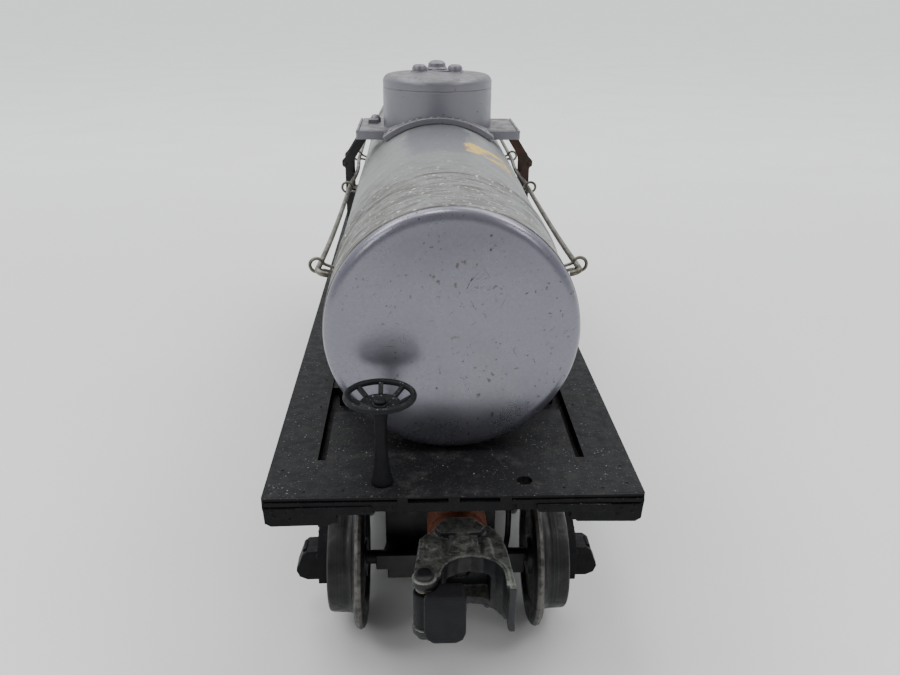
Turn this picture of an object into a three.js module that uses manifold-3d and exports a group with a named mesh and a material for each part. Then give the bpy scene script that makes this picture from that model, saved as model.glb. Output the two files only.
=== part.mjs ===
// O gauge model tank wagon: a die-cast frame carries a sheet-metal tank with a dome, and runs on two
// four-wheel trucks, each with a coil-operated knuckle coupler. Millimetres, +Z up. The origin is on
// the table under the middle of the wagon; +Y runs along it, and the brake wheel is at the -Y end.
import * as THREE from "three";
import { mergeVertices } from "three/addons/utils/BufferGeometryUtils.js";
import Module from "manifold-3d";

const wasm = await Module();
wasm.setup();

// ---- Driving dimensions

const FRAME_LENGTH = 200;
const FRAME_WIDTH = 53;
const DECK_TOP = 40.2;
const DECK_THICKNESS = 2;
const SIDE_RAIL_WIDTH = 6.7;
const PLATFORM_DEPTH = 9.8; // the flat end platform, from the frame's end
const FLOOR_DEPTH = 16.5; // the sunk floor panel behind it

const TANK_RADIUS = 18.6;
const TANK_HEIGHT = 59.1; // axis above the table
const TANK_LENGTH = 174;
const SHEET = 0.5;
const BEAD_FROM_END = 17.4;
const TANK_SEGMENTS = 36;

const DOME_RADIUS = 12.3;
const DOME_SHOULDER = 85.3;
const DOME_TOP = 87.6;
const STEP_HEIGHT = 75.7; // top of the platform beside the dome
const STEP_THICKNESS = 1.9;
const STEP_HALF_WIDTH = 18.1;

const BACK_TO_BACK = 28; // between the two wheels of an axle, for 31.75 mm track
const WHEEL_WIDTH = 6.3;
const FLANGE_RADIUS = 12.1;
const TREAD_RADIUS = 9.2;
const WHEEL_SEGMENTS = 20;
const AXLE_RADIUS = 1.2;
const WHEELBASE = 34;
const TRUCK_CENTRE = 58.8; // pivot from the wagon's middle

const GAP = 0.3; // between faces that touch on the real wagon

const END = FRAME_LENGTH / 2;
const SIDE = FRAME_WIDTH / 2;
const RAIL_INNER = SIDE - SIDE_RAIL_WIDTH;
const AXLE_HEIGHT = FLANGE_RADIUS;
const HALF_BASE = WHEELBASE / 2;

// ---- Materials

const paint = (color, roughness, metalness) =>
  new THREE.MeshStandardMaterial({ color, roughness, metalness });
const silverCap = paint(0x9c9ba6, 0.38, 0.6);
const silverTank = paint(0x9a9c9b, 0.48, 0.6);
const blackCasting = paint(0x232328, 0.62, 0.2);
const blackSteel = paint(0x1c1c1f, 0.5, 0.4);
const wheelIron = paint(0x2c2b2c, 0.45, 0.7);
const bareWire = paint(0x6f6c62, 0.35, 0.9);
const brightSteel = paint(0xb8b8b8, 0.25, 1.0);
const couplerZinc = paint(0x34343a, 0.5, 0.5);
const coilCloth = paint(0xa84a22, 0.8, 0.0);
const redFibre = paint(0x6e3a24, 0.8, 0.0);
const blackLead = paint(0x141414, 0.7, 0.0);

// ---- Solids

// A closed three.js geometry as a manifold solid, turned right way out.
function solid(geometry) {
  const bare = geometry.index ? geometry.toNonIndexed() : geometry.clone();
  bare.deleteAttribute("normal");
  bare.deleteAttribute("uv");
  const merged = mergeVertices(bare, 1e-4);
  const vertProperties = merged.attributes.position.array;
  const triVerts = new Uint32Array(merged.index.array);
  const made = new wasm.Manifold(new wasm.Mesh({ numProp: 3, vertProperties, triVerts }));
  if (made.volume() > 0) return made;
  for (let i = 0; i < triVerts.length; i += 3) {
    [triVerts[i + 1], triVerts[i + 2]] = [triVerts[i + 2], triVerts[i + 1]];
  }
  return new wasm.Manifold(new wasm.Mesh({ numProp: 3, vertProperties, triVerts }));
}

function join(...solids) {
  return solids.reduce((sum, next) => sum.add(next));
}

function cut(body, ...tools) {
  return tools.reduce((left, tool) => left.subtract(tool), body);
}

function block(x0, x1, y0, y1, z0, z1) {
  const box = new THREE.BoxGeometry(x1 - x0, y1 - y0, z1 - z0);
  return solid(box.translate((x0 + x1) / 2, (y0 + y1) / 2, (z0 + z1) / 2));
}

// Turns a geometry made about three.js's own Y axis, so that axis lies along X, Y or Z.
function aim(geometry, axis) {
  if (axis === "x") return geometry.rotateZ(-Math.PI / 2);
  if (axis === "z") return geometry.rotateX(Math.PI / 2);
  return geometry;
}

// A solid of revolution about a line through centre along axis; profile holds [radius, distance].
function turned(profile, axis, centre = [0, 0, 0], segments = 24) {
  const points = profile.map(([radius, along]) => new THREE.Vector2(radius, along));
  const lathe = aim(new THREE.LatheGeometry(points, segments), axis);
  return solid(lathe.translate(...centre));
}

function cylinder(radius, from, to, axis, centre = [0, 0, 0], segments = 16) {
  return turned([[0, from], [radius, from], [radius, to], [0, to]], axis, centre, segments);
}

// An outline of [a, b] pairs pushed along axis: (y, z) along x, (x, z) along y, or (x, y) along z.
function prism(outline, axis, from, to) {
  const shape = new THREE.Shape(outline.map(([a, b]) => new THREE.Vector2(a, b)));
  const pushed = new THREE.ExtrudeGeometry(shape, { depth: to - from, bevelEnabled: false });
  pushed.translate(0, 0, from);
  const basis = new THREE.Matrix4();
  if (axis === "x") basis.set(0, 0, 1, 0, 1, 0, 0, 0, 0, 1, 0, 0, 0, 0, 0, 1);
  if (axis === "y") basis.set(1, 0, 0, 0, 0, 0, 1, 0, 0, 1, 0, 0, 0, 0, 0, 1);
  return solid(pushed.applyMatrix4(basis));
}

// A round wire along a smooth curve through points.
function wire(points, radius, sides, steps) {
  const path = new THREE.CatmullRomCurve3(points.map((p) => new THREE.Vector3(...p)));
  const section = new THREE.Shape();
  for (let i = 0; i < sides; i++) {
    const angle = (2 * Math.PI * i) / sides;
    const at = [radius * Math.cos(angle), radius * Math.sin(angle)];
    if (i) section.lineTo(...at);
    else section.moveTo(...at);
  }
  return solid(new THREE.ExtrudeGeometry(section, { steps, extrudePath: path, bevelEnabled: false }));
}

// Points along an ellipse's arc, between two angles in degrees.
function arc(x, y, radiusX, radiusY, from, to, steps) {
  return Array.from({ length: steps + 1 }, (_, i) => {
    const angle = THREE.MathUtils.degToRad(from + ((to - from) * i) / steps);
    return [x + radiusX * Math.cos(angle), y + radiusY * Math.sin(angle)];
  });
}

const mirrorX = (outline) => outline.map(([x, z]) => [-x, z]);
const model = new THREE.Group();

// Adds a named mesh of the solid to a group.
function part(name, body, material, group = model) {
  const { numProp, vertProperties, triVerts } = body.getMesh();
  const positions = new Float32Array((vertProperties.length / numProp) * 3);
  for (let i = 0; i < positions.length / 3; i++) {
    for (let k = 0; k < 3; k++) positions[3 * i + k] = vertProperties[numProp * i + k];
  }
  const geometry = new THREE.BufferGeometry();
  geometry.setAttribute("position", new THREE.BufferAttribute(positions, 3));
  geometry.setIndex(new THREE.BufferAttribute(new Uint32Array(triVerts), 1));
  geometry.computeVertexNormals();
  const mesh = new THREE.Mesh(geometry, material);
  mesh.name = name;
  group.add(mesh);
}

// ---- Frame casting

const BEAM_BOTTOM = 37.7;
const BLOCK_BOTTOM = 35.8;
const BLOCK_INNER = 16.3;
const SILL_BOTTOM = 36.5;
const SILL_HALF_WIDTH = 9;
const FLOOR_TOP = 39.7;
const FLOOR_HALF_WIDTH = 18.7;
const FLOOR_BOTTOM = 38.1;
const STAND_HOLE = { x: 10.1, fromEnd: 3.5, radius: 1.15 };
const PIVOT_HOLE_RADIUS = 2.3;
const SCREW_Y = 30;
const SADDLE_TOP = 43;

// What the two ends of the frame share, built at the -Y end and turned for the other.
function frameEnd() {
  const front = -END;
  const deckBottom = DECK_TOP - DECK_THICKNESS;
  const platform = block(-SIDE, SIDE, front, front + PLATFORM_DEPTH, deckBottom, DECK_TOP);
  const beam = block(-21.7, 21.7, front, front + 1.8, BEAM_BOTTOM, DECK_TOP - 0.5);
  const panel = block(-7.9, 7.9, front - 0.5, front + 1, 37.9, DECK_TOP);
  const blocks = [-1, 1].map((side) => {
    const x = [side * BLOCK_INNER, side * (SIDE - 0.2)].sort((a, b) => a - b);
    return block(...x, front + 0.1, front + 8, BLOCK_BOTTOM, DECK_TOP - 1);
  });
  const start = front + PLATFORM_DEPTH - 1;
  const stop = front + PLATFORM_DEPTH + FLOOR_DEPTH;
  const floor = block(-FLOOR_HALF_WIDTH, FLOOR_HALF_WIDTH, start, stop, FLOOR_BOTTOM, FLOOR_TOP);
  const plateau = block(-13, 13, start, stop, FLOOR_BOTTOM, DECK_TOP);
  // A web under the floor and the saddle closes the grooves beside them, as far as the bolster.
  const web = block(-RAIL_INNER - 0.5, RAIL_INNER + 0.5, start, front + 35.6, 37.3, FLOOR_BOTTOM + 0.3);
  const slots = [-3.65, 3.5].map((x) => block(x - 2.8, x + 2.8, front - 1, front + 0.2, 39.3, 40));
  const saddle = block(-18.3, 18.3, front + 31, front + 34, 38, SADDLE_TOP);
  return cut(join(platform, beam, panel, ...blocks, floor, plateau, web, saddle), ...slots);
}

function frameCasting() {
  const end = frameEnd();
  const rails = [-1, 1].flatMap((side) => {
    const top = [side * RAIL_INNER, side * SIDE].sort((a, b) => a - b);
    const skirt = [side * (SIDE - 1.4), side * SIDE].sort((a, b) => a - b);
    return [
      block(...top, -END + 1, END - 1, DECK_TOP - DECK_THICKNESS, DECK_TOP),
      block(...skirt, -END + 7, END - 7, SILL_BOTTOM, DECK_TOP - 1),
    ];
  });
  const sill = block(-SILL_HALF_WIDTH, SILL_HALF_WIDTH, -END + 5, END - 5, SILL_BOTTOM, DECK_TOP);
  const crossBars = [0, 19, 38].flatMap((y) => (y ? [-y, y] : [0])).map((y) =>
    block(-RAIL_INNER - 1, RAIL_INNER + 1, y - 1.5, y + 1.5, 37.2, 39.8),
  );
  const bolsters = [-TRUCK_CENTRE, TRUCK_CENTRE].flatMap((y) => [
    block(-RAIL_INNER - 1, RAIL_INNER + 1, y - 6, y + 6, 37.2, 39.8),
    cylinder(5.5, 27, DECK_TOP - 1, "z", [0, y, 0], 20),
  ]);
  const saddles = [-SCREW_Y, SCREW_Y].map((y) => block(-16, 16, y - 2.5, y + 2.5, 38, SADDLE_TOP));
  const turnedEnd = end.rotate([0, 0, 180]);
  const body = join(end, turnedEnd, ...rails, sill, ...crossBars, ...bolsters, ...saddles);
  const axis = [0, 0, TANK_HEIGHT];
  const tankSpace = cylinder(TANK_RADIUS + GAP, -END, END, "y", axis, TANK_SEGMENTS);
  const holes = [-1, 1].flatMap((toEnd) => [
    cylinder(PIVOT_HOLE_RADIUS, 20, 45, "z", [0, toEnd * TRUCK_CENTRE, 0]),
    cylinder(4.4, 38, 45, "z", [0, toEnd * TRUCK_CENTRE, 0]),
    cylinder(1.5, 30, 45, "z", [0, toEnd * SCREW_Y, 0], 12),
    ...[-1, 1].map((side) => {
      const at = [side * STAND_HOLE.x, toEnd * (END - STAND_HOLE.fromEnd), 0];
      return cylinder(STAND_HOLE.radius, 30, 45, "z", at, 10);
    }),
  ]);
  return cut(body, tankSpace, ...holes);
}

part("frame", frameCasting(), blackCasting);

// ---- Tank: rolled shell, two pressed ends, dome casting

const HALF_TANK = TANK_LENGTH / 2;
const POST_Y = [-74.5, -18.6, 18.6, 74.5];
const POST_ANGLE = THREE.MathUtils.degToRad(17.1); // above the tank's side
const EYE_RADIAL = 21.2; // the end eyes' distance from the tank's axis
const MIDDLE_EYE_RADIAL = 20.6; // the rail holds the two in the middle closer in
const EYE_RADIUS = 1.1; // to the middle of the wire
const EYE_X = EYE_RADIAL * Math.cos(POST_ANGLE);
const EYE_Z = TANK_HEIGHT + EYE_RADIAL * Math.sin(POST_ANGLE);

// A round bar that points straight out of the tank's side, from one distance from its axis to another.
function radialBar(radius, from, to, side, y, segments) {
  const bar = new THREE.CylinderGeometry(radius, radius, to - from, segments);
  bar.translate(0, (from + to) / 2, 0).rotateZ(-Math.PI / 2).rotateY(-POST_ANGLE);
  if (side < 0) bar.rotateZ(Math.PI);
  return solid(bar.translate(0, y, TANK_HEIGHT));
}

function tankShell() {
  const outer = TANK_RADIUS;
  const inner = TANK_RADIUS - SHEET;
  const bead = (y) => [[outer, y - 0.8], [outer + 0.25, y], [outer, y + 0.8]];
  const at = HALF_TANK - BEAD_FROM_END;
  const profile = [
    [inner, -HALF_TANK],
    [outer, -HALF_TANK],
    ...bead(-at),
    ...bead(at),
    [outer, HALF_TANK],
    [inner, HALF_TANK],
    [inner, -HALF_TANK],
  ];
  const shell = turned(profile, "y", [0, 0, TANK_HEIGHT], TANK_SEGMENTS);
  const postHoles = [-1, 1].flatMap((side) =>
    POST_Y.map((y) => radialBar(0.85, outer - 3, outer + 3, side, y, 8)),
  );
  const screwHoles = [-SCREW_Y, SCREW_Y].map((y) => cylinder(1.5, 38, 46, "z", [0, y, 0], 12));
  const domeHole = cylinder(2.2, 70, 82, "z", [0, 0, 0], 12);
  return cut(shell, ...postHoles, ...screwHoles, domeHole);
}

// A shallow pan with a rolled edge, pushed into the shell so that its face stands just proud.
function tankEnd() {
  const outer = TANK_RADIUS - SHEET - 0.2;
  const profile = [
    [0, -1.6],
    [outer - 4, -1.45],
    [outer - 1.6, -1.2],
    [outer - 0.4, -0.7],
    [outer, 0.3],
    [outer, 5],
    [outer - 0.7, 5],
    [outer - 0.7, 0.4],
    [outer - 1.8, -0.4],
    [0, -0.8],
  ];
  return turned(profile, "y", [0, -HALF_TANK, TANK_HEIGHT], TANK_SEGMENTS);
}

function domeCasting() {
  const y = 13;
  const axis = [0, 0, TANK_HEIGHT];
  const arch = cylinder(TANK_RADIUS + 1.3, -y, y, "y", axis, TANK_SEGMENTS);
  const saddle = arch.intersect(block(-11.5, 11.5, -y, y, 70, 82));
  const stepBottom = STEP_HEIGHT - STEP_THICKNESS;
  const wings = block(-STEP_HALF_WIDTH, STEP_HALF_WIDTH, -10, 10, stepBottom, STEP_HEIGHT);
  const dome = turned(
    [
      [0, 70],
      [DOME_RADIUS, 70],
      [DOME_RADIUS, DOME_SHOULDER],
      [DOME_RADIUS - 0.5, DOME_SHOULDER + 0.9],
      [DOME_RADIUS - 1.7, DOME_SHOULDER + 1.6],
      [0, DOME_TOP],
    ],
    "z",
    [0, 0, 0],
    32,
  );
  const knobs = [[-4, 0], [4, 0], [0, 4]].map(([x, ahead]) =>
    turned([[0, 86], [1.7, 86], [1.7, 88.1], [0.9, 89], [0, 89.1]], "z", [x, ahead, 0], 10),
  );
  const tankSpace = cylinder(TANK_RADIUS + 0.2, -40, 40, "y", axis, TANK_SEGMENTS);
  const hollow = turned(
    [[0, 60], [DOME_RADIUS - 1.2, 60], [DOME_RADIUS - 1.2, 84.8], [0, 86]],
    "z",
    [0, 0, 0],
    24,
  );
  const stud = cylinder(1.3, 73.8, 86, "z", [0, 0, 0], 12);
  return join(cut(join(saddle, wings, dome, ...knobs), tankSpace, hollow), stud);
}

part("tank_shell", tankShell(), silverTank);
part("front_tank_end", tankEnd(), silverCap);
part("rear_tank_end", tankEnd().rotate([0, 0, 180]), silverCap);
part("dome_and_platform", domeCasting(), silverCap);

// A flat nut inside the shell that pulls the dome down by its stud.
part(
  "dome_nut",
  cut(cylinder(3.2, 74.6, 76.4, "z", [0, 0, 0], 6), cylinder(1.45, 70, 80, "z", [0, 0, 0], 12)),
  brightSteel,
);

// A screw from under the sill and its nut inside the shell, at each end of the tank.
function tankScrew(y) {
  const profile = [[0, 34.6], [2.4, 35.2], [2.4, 36.2], [1.2, 36.2], [1.2, 45], [0, 45]];
  return turned(profile, "z", [0, y, 0], 12);
}

function tankNut(y) {
  const at = [0, y, 0];
  return cut(cylinder(2.7, 41.5, 43.2, "z", at, 6), cylinder(1.5, 40, 45, "z", at, 12));
}

for (const [name, y] of [["front", -SCREW_Y], ["rear", SCREW_Y]]) {
  part(`${name}_tank_screw`, tankScrew(y), brightSteel);
  part(`${name}_tank_nut`, tankNut(y), brightSteel);
}

// ---- Handrails, their eyed posts, and the ladders

const RAIL_WIRE = 0.45;
const RAIL_X = EYE_X - 0.2; // the rail lies in the inner bottoms of the end eyes
const RAIL_Z = EYE_Z - 0.4;
const RAIL_END = 75.4;
const LONG_BOW = 0.8; // how far the rail bows in towards the tank between its end posts
const LADDER_BOW = 0.6; // and how much further between the two posts beside the ladder

// A split pin: a round eye on a shank that goes through the shell.
function railPost(side, y) {
  const eye = new THREE.TorusGeometry(EYE_RADIUS, 0.28, 5, 10).rotateX(Math.PI / 2);
  const radial = Math.abs(y) === POST_Y[3] ? EYE_RADIAL : MIDDLE_EYE_RADIAL;
  const angle = POST_ANGLE;
  eye.translate(side * radial * Math.cos(angle), y, TANK_HEIGHT + radial * Math.sin(angle));
  return join(solid(eye), radialBar(0.42, TANK_RADIUS - 1.6, radial - 0.9, side, y, 6));
}

// How far the rail has bowed in towards the tank at y.
function railBow(y) {
  const [, , inner, outer] = POST_Y;
  const at = Math.abs(y);
  const long = LONG_BOW * (1 - Math.min(1, at / outer) ** 4);
  if (at > inner) return long;
  return long + LADDER_BOW * Math.cos((Math.PI / 2) * (at / inner)) ** 2;
}

// A springy wire whose ends are hooked in towards the tank, with its eyed posts on it.
function handrail(side) {
  const hook = (toEnd) => [
    [side * (RAIL_X - 0.2), toEnd * (RAIL_END + 0.9), RAIL_Z - 0.1],
    [side * (RAIL_X - 0.8), toEnd * (RAIL_END + 1.2), RAIL_Z - 0.3],
    [side * (RAIL_X - 1.6), toEnd * (RAIL_END + 1.1), RAIL_Z - 0.5],
  ];
  const stations = [-1, -0.9, -0.75, -0.5, -0.35, -0.247, -0.12, 0, 0.12, 0.247, 0.35, 0.5, 0.75, 0.9, 1];
  const run = stations.map((share) => {
    const y = share * RAIL_END;
    return [side * (RAIL_X - railBow(y)), y, RAIL_Z];
  });
  const path = [...hook(-1).reverse(), ...run, ...hook(1)];
  return join(wire(path, RAIL_WIRE, 6, 72), ...POST_Y.map((y) => railPost(side, y)));
}

const LADDER_HALF_WIDTH = 4.4;
const LADDER_INNER = 19.5;
const LADDER_DEPTH = 1.6;
const LADDER_TOP = STEP_HEIGHT - STEP_THICKNESS - 0.4;
const RUNGS = 5;
const RUNG_PITCH = 4.6;

// Two bent strips with rungs between them, from under the platform out and down to the deck.
function ladder(side) {
  const inner = LADDER_INNER;
  const outer = LADDER_INNER + LADDER_DEPTH;
  const strip = [
    [15.9, LADDER_TOP],
    [inner, 67.6],
    [inner, 40.6],
    [23.2, 40.6],
    [23.2, 41.3],
    [outer, 41.3],
    [outer, 66.9],
    [outer + 0.7, 67.1],
    [outer + 0.7, 68.4],
    [outer, 68.9],
    [18.2, LADDER_TOP],
  ];
  const outline = side > 0 ? strip : mirrorX(strip);
  const strips = [-1, 1].map((k) => {
    const y = k * LADDER_HALF_WIDTH;
    return prism(outline, "y", y - 0.4, y + 0.4);
  });
  const rungs = Array.from({ length: RUNGS }, (_, i) => {
    const z = 45 + i * RUNG_PITCH;
    const x = [side * (inner + 0.3), side * (outer - 0.2)].sort((a, b) => a - b);
    return block(...x, -LADDER_HALF_WIDTH, LADDER_HALF_WIDTH, z, z + 0.8);
  });
  const topX = [side * 16.6, side * 17.8].sort((a, b) => a - b);
  const width = LADDER_HALF_WIDTH;
  const topBar = block(...topX, -width, width, LADDER_TOP - 0.7, LADDER_TOP);
  return join(...strips, ...rungs, topBar);
}

for (const [name, side] of [["left", -1], ["right", 1]]) {
  part(`${name}_handrail`, handrail(side), bareWire);
  part(`${name}_ladder`, ladder(side), blackSteel);
}

// ---- Brake stand and brake wheel

const STAND_AT = [-STAND_HOLE.x, -END + STAND_HOLE.fromEnd, 0];
const HANDWHEEL_RADIUS = 5;
const SPOKES = 8;

const standProfile = [
  [0, 38.4],
  [0.9, 38.4],
  [0.9, DECK_TOP + 0.1],
  [1.45, DECK_TOP + 0.1],
  [1.38, 41],
  [1, 43.5],
  [0.84, 47],
  [0.95, 50.6],
  [1.1, 51.7],
  [0.55, 51.7],
  [0.55, 52.9],
  [0.95, 52.9],
  [0.75, 53.3],
  [0, 53.3],
];
part("brake_stand", turned(standProfile, "z", STAND_AT, 12), blackCasting);

// A dished handwheel: the rim stands above the hub plate, and sloping spokes join them.
function handwheel() {
  const rim = turned([[4.2, 53.3], [5, 53.3], [5, 54.2], [4.2, 54.2], [4.2, 53.3]], "z");
  const hub = cylinder(2.7, 52, 52.6, "z", [0, 0, 0], 16);
  const spokes = Array.from({ length: SPOKES }, (_, i) => {
    const spoke = prism([[2.4, 52], [4.5, 53.4], [4.5, 54], [2.4, 52.6]], "y", -0.35, 0.35);
    return spoke.rotate([0, 0, (360 / SPOKES) * i]);
  });
  const bore = cylinder(0.75, 50, 56, "z", [0, 0, 0], 10);
  return cut(join(rim, hub, ...spokes), bore).translate(STAND_AT);
}

part("brake_wheel", handwheel(), blackCasting);

// ---- Trucks. Each is drawn about its own pivot with its coupler towards -Y.

const SIDE_FRAME_IN = BACK_TO_BACK / 2 + WHEEL_WIDTH + 0.4;
const SIDE_FRAME_OUT = SIDE_FRAME_IN + 1.6;
const BOLSTER_BOTTOM = 24.6;
const BOLSTER_TOP = 26;
const FACE = TRUCK_CENTRE - END; // local y of the frame's end
const SHANK_X = 1.5; // the coil and plunger's line
const SHANK_Z = 20.8;
const KNUCKLE_PIVOT = [-4.2, FACE + 1.1];

function wheel() {
  const hub = 2.6;
  const profile = [
    [AXLE_RADIUS + 0.08, 0],
    [FLANGE_RADIUS - 0.8, 0],
    [FLANGE_RADIUS, 0.9],
    [TREAD_RADIUS + 0.15, 2.3],
    [TREAD_RADIUS - 0.2, WHEEL_WIDTH],
    [7.4, WHEEL_WIDTH],
    [7.1, 5],
    [hub, 5],
    [hub, WHEEL_WIDTH],
    [AXLE_RADIUS + 0.08, WHEEL_WIDTH],
    [AXLE_RADIUS + 0.08, 0],
  ];
  return turned(profile, "x", [0, 0, 0], WHEEL_SEGMENTS);
}

function axle() {
  const profile = [
    [0, -22.6],
    [0.95, -22.6],
    [0.95, -20.6],
    [AXLE_RADIUS, -20.6],
    [AXLE_RADIUS, 20.6],
    [0.95, 20.6],
    [0.95, 22.6],
    [0, 22.6],
  ];
  return turned(profile, "x", [0, 0, 0], 12);
}

// The truss side frame: arched top chord, dropped bottom chord, journal boxes and spring nest.
function sideFrame() {
  const half = [
    [6.5, 5.2],
    [9.5, 7.2],
    [14, 9.2],
    [20.4, 9.2],
    [20.4, 15],
    [18.5, 16.8],
    [12.5, 19],
    [9, 22.5],
    [6.5, 27.8],
  ];
  const outline = [...half, ...mirrorX([...half].reverse())];
  const plate = prism(outline, "x", SIDE_FRAME_IN, SIDE_FRAME_OUT);
  const window = [[8, 10.2], [13, 12], [12.4, 15.8], [8, 18.4]];
  const windows = [window, mirrorX(window)].map((shape) => prism(shape, "x", 15, 25));
  const bolsterSlot = block(15, 25, -3.3, 3.3, BOLSTER_BOTTOM - 0.2, BOLSTER_TOP + 0.2);
  const springs = [-2.6, 2.6].map((y) => cylinder(1.9, 8, 17, "z", [SIDE_FRAME_OUT, y, 0], 12));
  const springPlank = block(SIDE_FRAME_OUT - 0.5, SIDE_FRAME_OUT + 1.7, -5, 5, 6.8, 8.2);
  const box = [[22, 9.2], [24.4, 9.2], [25.7, 9.8], [26.2, 11.1], [25, 14.3], [24.2, 14.9], [22, 15]];
  const boxes = [-HALF_BASE, HALF_BASE].map((y) => prism(box, "y", y - 2.2, y + 2.2));
  const journals = [-HALF_BASE, HALF_BASE].map((y) =>
    cylinder(1.25, 15, 23.2, "x", [0, y, AXLE_HEIGHT], 12),
  );
  const body = cut(plate, ...windows, bolsterSlot);
  return cut(join(body, ...springs, springPlank, ...boxes), ...journals);
}

function bolster() {
  const plate = block(-20.4, 20.4, -4.5, 4.5, BOLSTER_BOTTOM, BOLSTER_TOP);
  const tabs = block(-23, 23, -3, 3, BOLSTER_BOTTOM, BOLSTER_TOP);
  return cut(join(plate, tabs), cylinder(2.15, 20, 30, "z"));
}

// A flat strap under the coil that rises behind it and is trapped under the bolster by the stud.
function drawbar() {
  const low = block(SHANK_X - 3.2, SHANK_X + 3.2, FACE + 9, -8, 14.3, 15.3);
  const riser = block(SHANK_X - 3.2, SHANK_X + 3.2, -9, -8, 14.3, 24.3);
  const tab = block(-3.6, SHANK_X + 3.2, -9, 4.2, 23.3, 24.3);
  return cut(join(low, riser, tab), cylinder(2.15, 20, 30, "z"));
}

// The headed stud that the truck swivels on, grooved near its top for a horseshoe clip.
function pivotStud() {
  const profile = [
    [0, 22],
    [3.2, 22],
    [3.2, 23],
    [1.9, 23],
    [1.9, 38.2],
    [1.4, 38.2],
    [1.4, 39.1],
    [1.9, 39.1],
    [1.9, 39.7],
    [0, 39.7],
  ];
  return turned(profile, "z", [0, 0, 0], 16);
}

function studClip() {
  const ring = turned([[1.55, 38.3], [3.5, 38.3], [3.5, 39], [1.55, 39], [1.55, 38.3]], "z");
  return cut(ring, block(-1.5, 1.5, 0, 5, 38, 40));
}

// ---- Coupler

const EAR_RADIUS = 1.85; // of the two lugs that hold the knuckle pin
const HEAD_TOP = 25.2;
const EAR_TOP = 25.7;
const HEAD_DEPTH = 15; // from the face to the back of the head
const HEAD_RIGHT = 8.6; // its side, where the rounded shoulder ends
const SHOULDER_X = 4.4; // where the shoulder leaves the back
const SHOULDER_BACK = 7.6;
const ARM_OUTER = 9.1;
const ARM_REACH = 1.3; // of the guard arm, ahead of the face
const MOUTH_X = 2.9; // of the round mouth's middle
const MOUTH_RADIUS = 5.1;
const LUG_FACE = 1.1; // how far the lug's face lies behind the head's
const LUG_OUTER = -5.9;

function couplerHead() {
  const y = (fromFace) => FACE + fromFace;
  const shoulder = [HEAD_RIGHT - SHOULDER_X, HEAD_DEPTH - SHOULDER_BACK];
  const armSide = arc(SHOULDER_X, y(SHOULDER_BACK), ...shoulder, 90, 0, 3);
  const armTip = [[ARM_OUTER, y(-ARM_REACH)], [MOUTH_X + MOUTH_RADIUS, y(-ARM_REACH)]];
  const arch = arc(MOUTH_X, y(LUG_FACE), MOUTH_RADIUS, MOUTH_RADIUS, 0, 180, 8);
  const lugSide = [[LUG_OUTER, y(LUG_FACE)], [LUG_OUTER + 1, y(11)], [-1, y(HEAD_DEPTH)]];
  const shell = [...armSide, ...armTip, ...arch, ...lugSide];
  const collarSide = [[2, HEAD_DEPTH], [4, 12.4], [3, 10.8]];
  const collar = [
    ...collarSide.map(([across, back]) => [SHANK_X + across, y(back)]),
    ...[...collarSide].reverse().map(([across, back]) => [SHANK_X - across, y(back)]),
  ];
  const [px, py] = KNUCKLE_PIVOT;
  const body = join(prism(shell, "z", 16.4, HEAD_TOP), prism(collar, "z", HEAD_TOP - 1, 26.4));
  const ear = cylinder(EAR_RADIUS, 15.9, EAR_TOP, "z", [px, py, 0], 16);
  const mouth = block(-1, 5.9, y(2.8), y(9), 17.7, 22.4);
  const foot = block(-1, 4, y(9.5), y(14), 15.5, 17);
  const knuckleSlot = block(-8, -1.2, y(-3), y(3.5), 16.9, 24.5);
  const slope = [[4, 22], [8.4, 17.2], [9.4, 17.2], [9.4, 14], [4, 14]];
  const guardSlope = prism(slope, "y", y(-4), y(2.4));
  const bore = cylinder(1.6, y(0), y(20), "y", [SHANK_X, 0, SHANK_Z], 12);
  const pinHole = cylinder(0.95, 10, 30, "z", [px, py, 0], 10);
  return cut(join(body, ear, foot), knuckleSlot, mouth, guardSlope, bore, pinHole);
}

// The swinging hook: a tall face block on a barrel that turns about the knuckle pin.
function knuckle() {
  const [px, py] = KNUCKLE_PIVOT;
  const face = FACE - 2.3;
  const hook = [
    [-4.3, 18],
    [-3.9, 16.9],
    [-2.9, 16.2],
    [0.4, 16.2],
    [1.4, 16.8],
    [1.8, 17.9],
    [1.8, 24],
    [1.3, 24.5],
    [-3.9, 24.5],
    [-4.3, 24],
  ];
  const clear = EAR_RADIUS + 0.2;
  const facePlate = prism(hook, "y", face, py + 0.1);
  const barrel = cylinder(1.7, 17.2, 23.2, "z", [px, py, 0], 16);
  const arm = block(px, px + 3, py - 1.7, py + 0.1, 17.2, 23.2);
  const tail = block(px + 1, px + 2.6, py - 0.5, py + 1.7, 17.4, 21.8);
  const earSpace = join(
    cylinder(clear, 23.2, 30, "z", [px, py, 0], 20),
    cylinder(clear, 10, 17.1, "z", [px, py, 0], 20),
  );
  const bore = cylinder(0.95, 10, 30, "z", [px, py, 0], 10);
  const clearPivot = cut(facePlate, cylinder(clear, 10, 30, "z", [px, py, 0], 20));
  return cut(join(clearPivot, cut(join(barrel, arm, tail), earSpace)), bore);
}

function knucklePin() {
  const profile = [
    [0, 15.1],
    [1.25, 15.1],
    [1.25, 15.7],
    [0.8, 15.7],
    [0.8, 25.9],
    [1.5, 25.9],
    [1.4, 26.2],
    [0.9, 26.5],
    [0, 26.5],
  ];
  return turned(profile, "z", [...KNUCKLE_PIVOT, 0], 12);
}

function knuckleSpring() {
  const profile = [[1.05, 23.5], [1.65, 23.5], [1.65, 24.3], [1.05, 24.3], [1.05, 23.5]];
  return turned(profile, "z", [...KNUCKLE_PIVOT, 0], 16);
}

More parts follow.
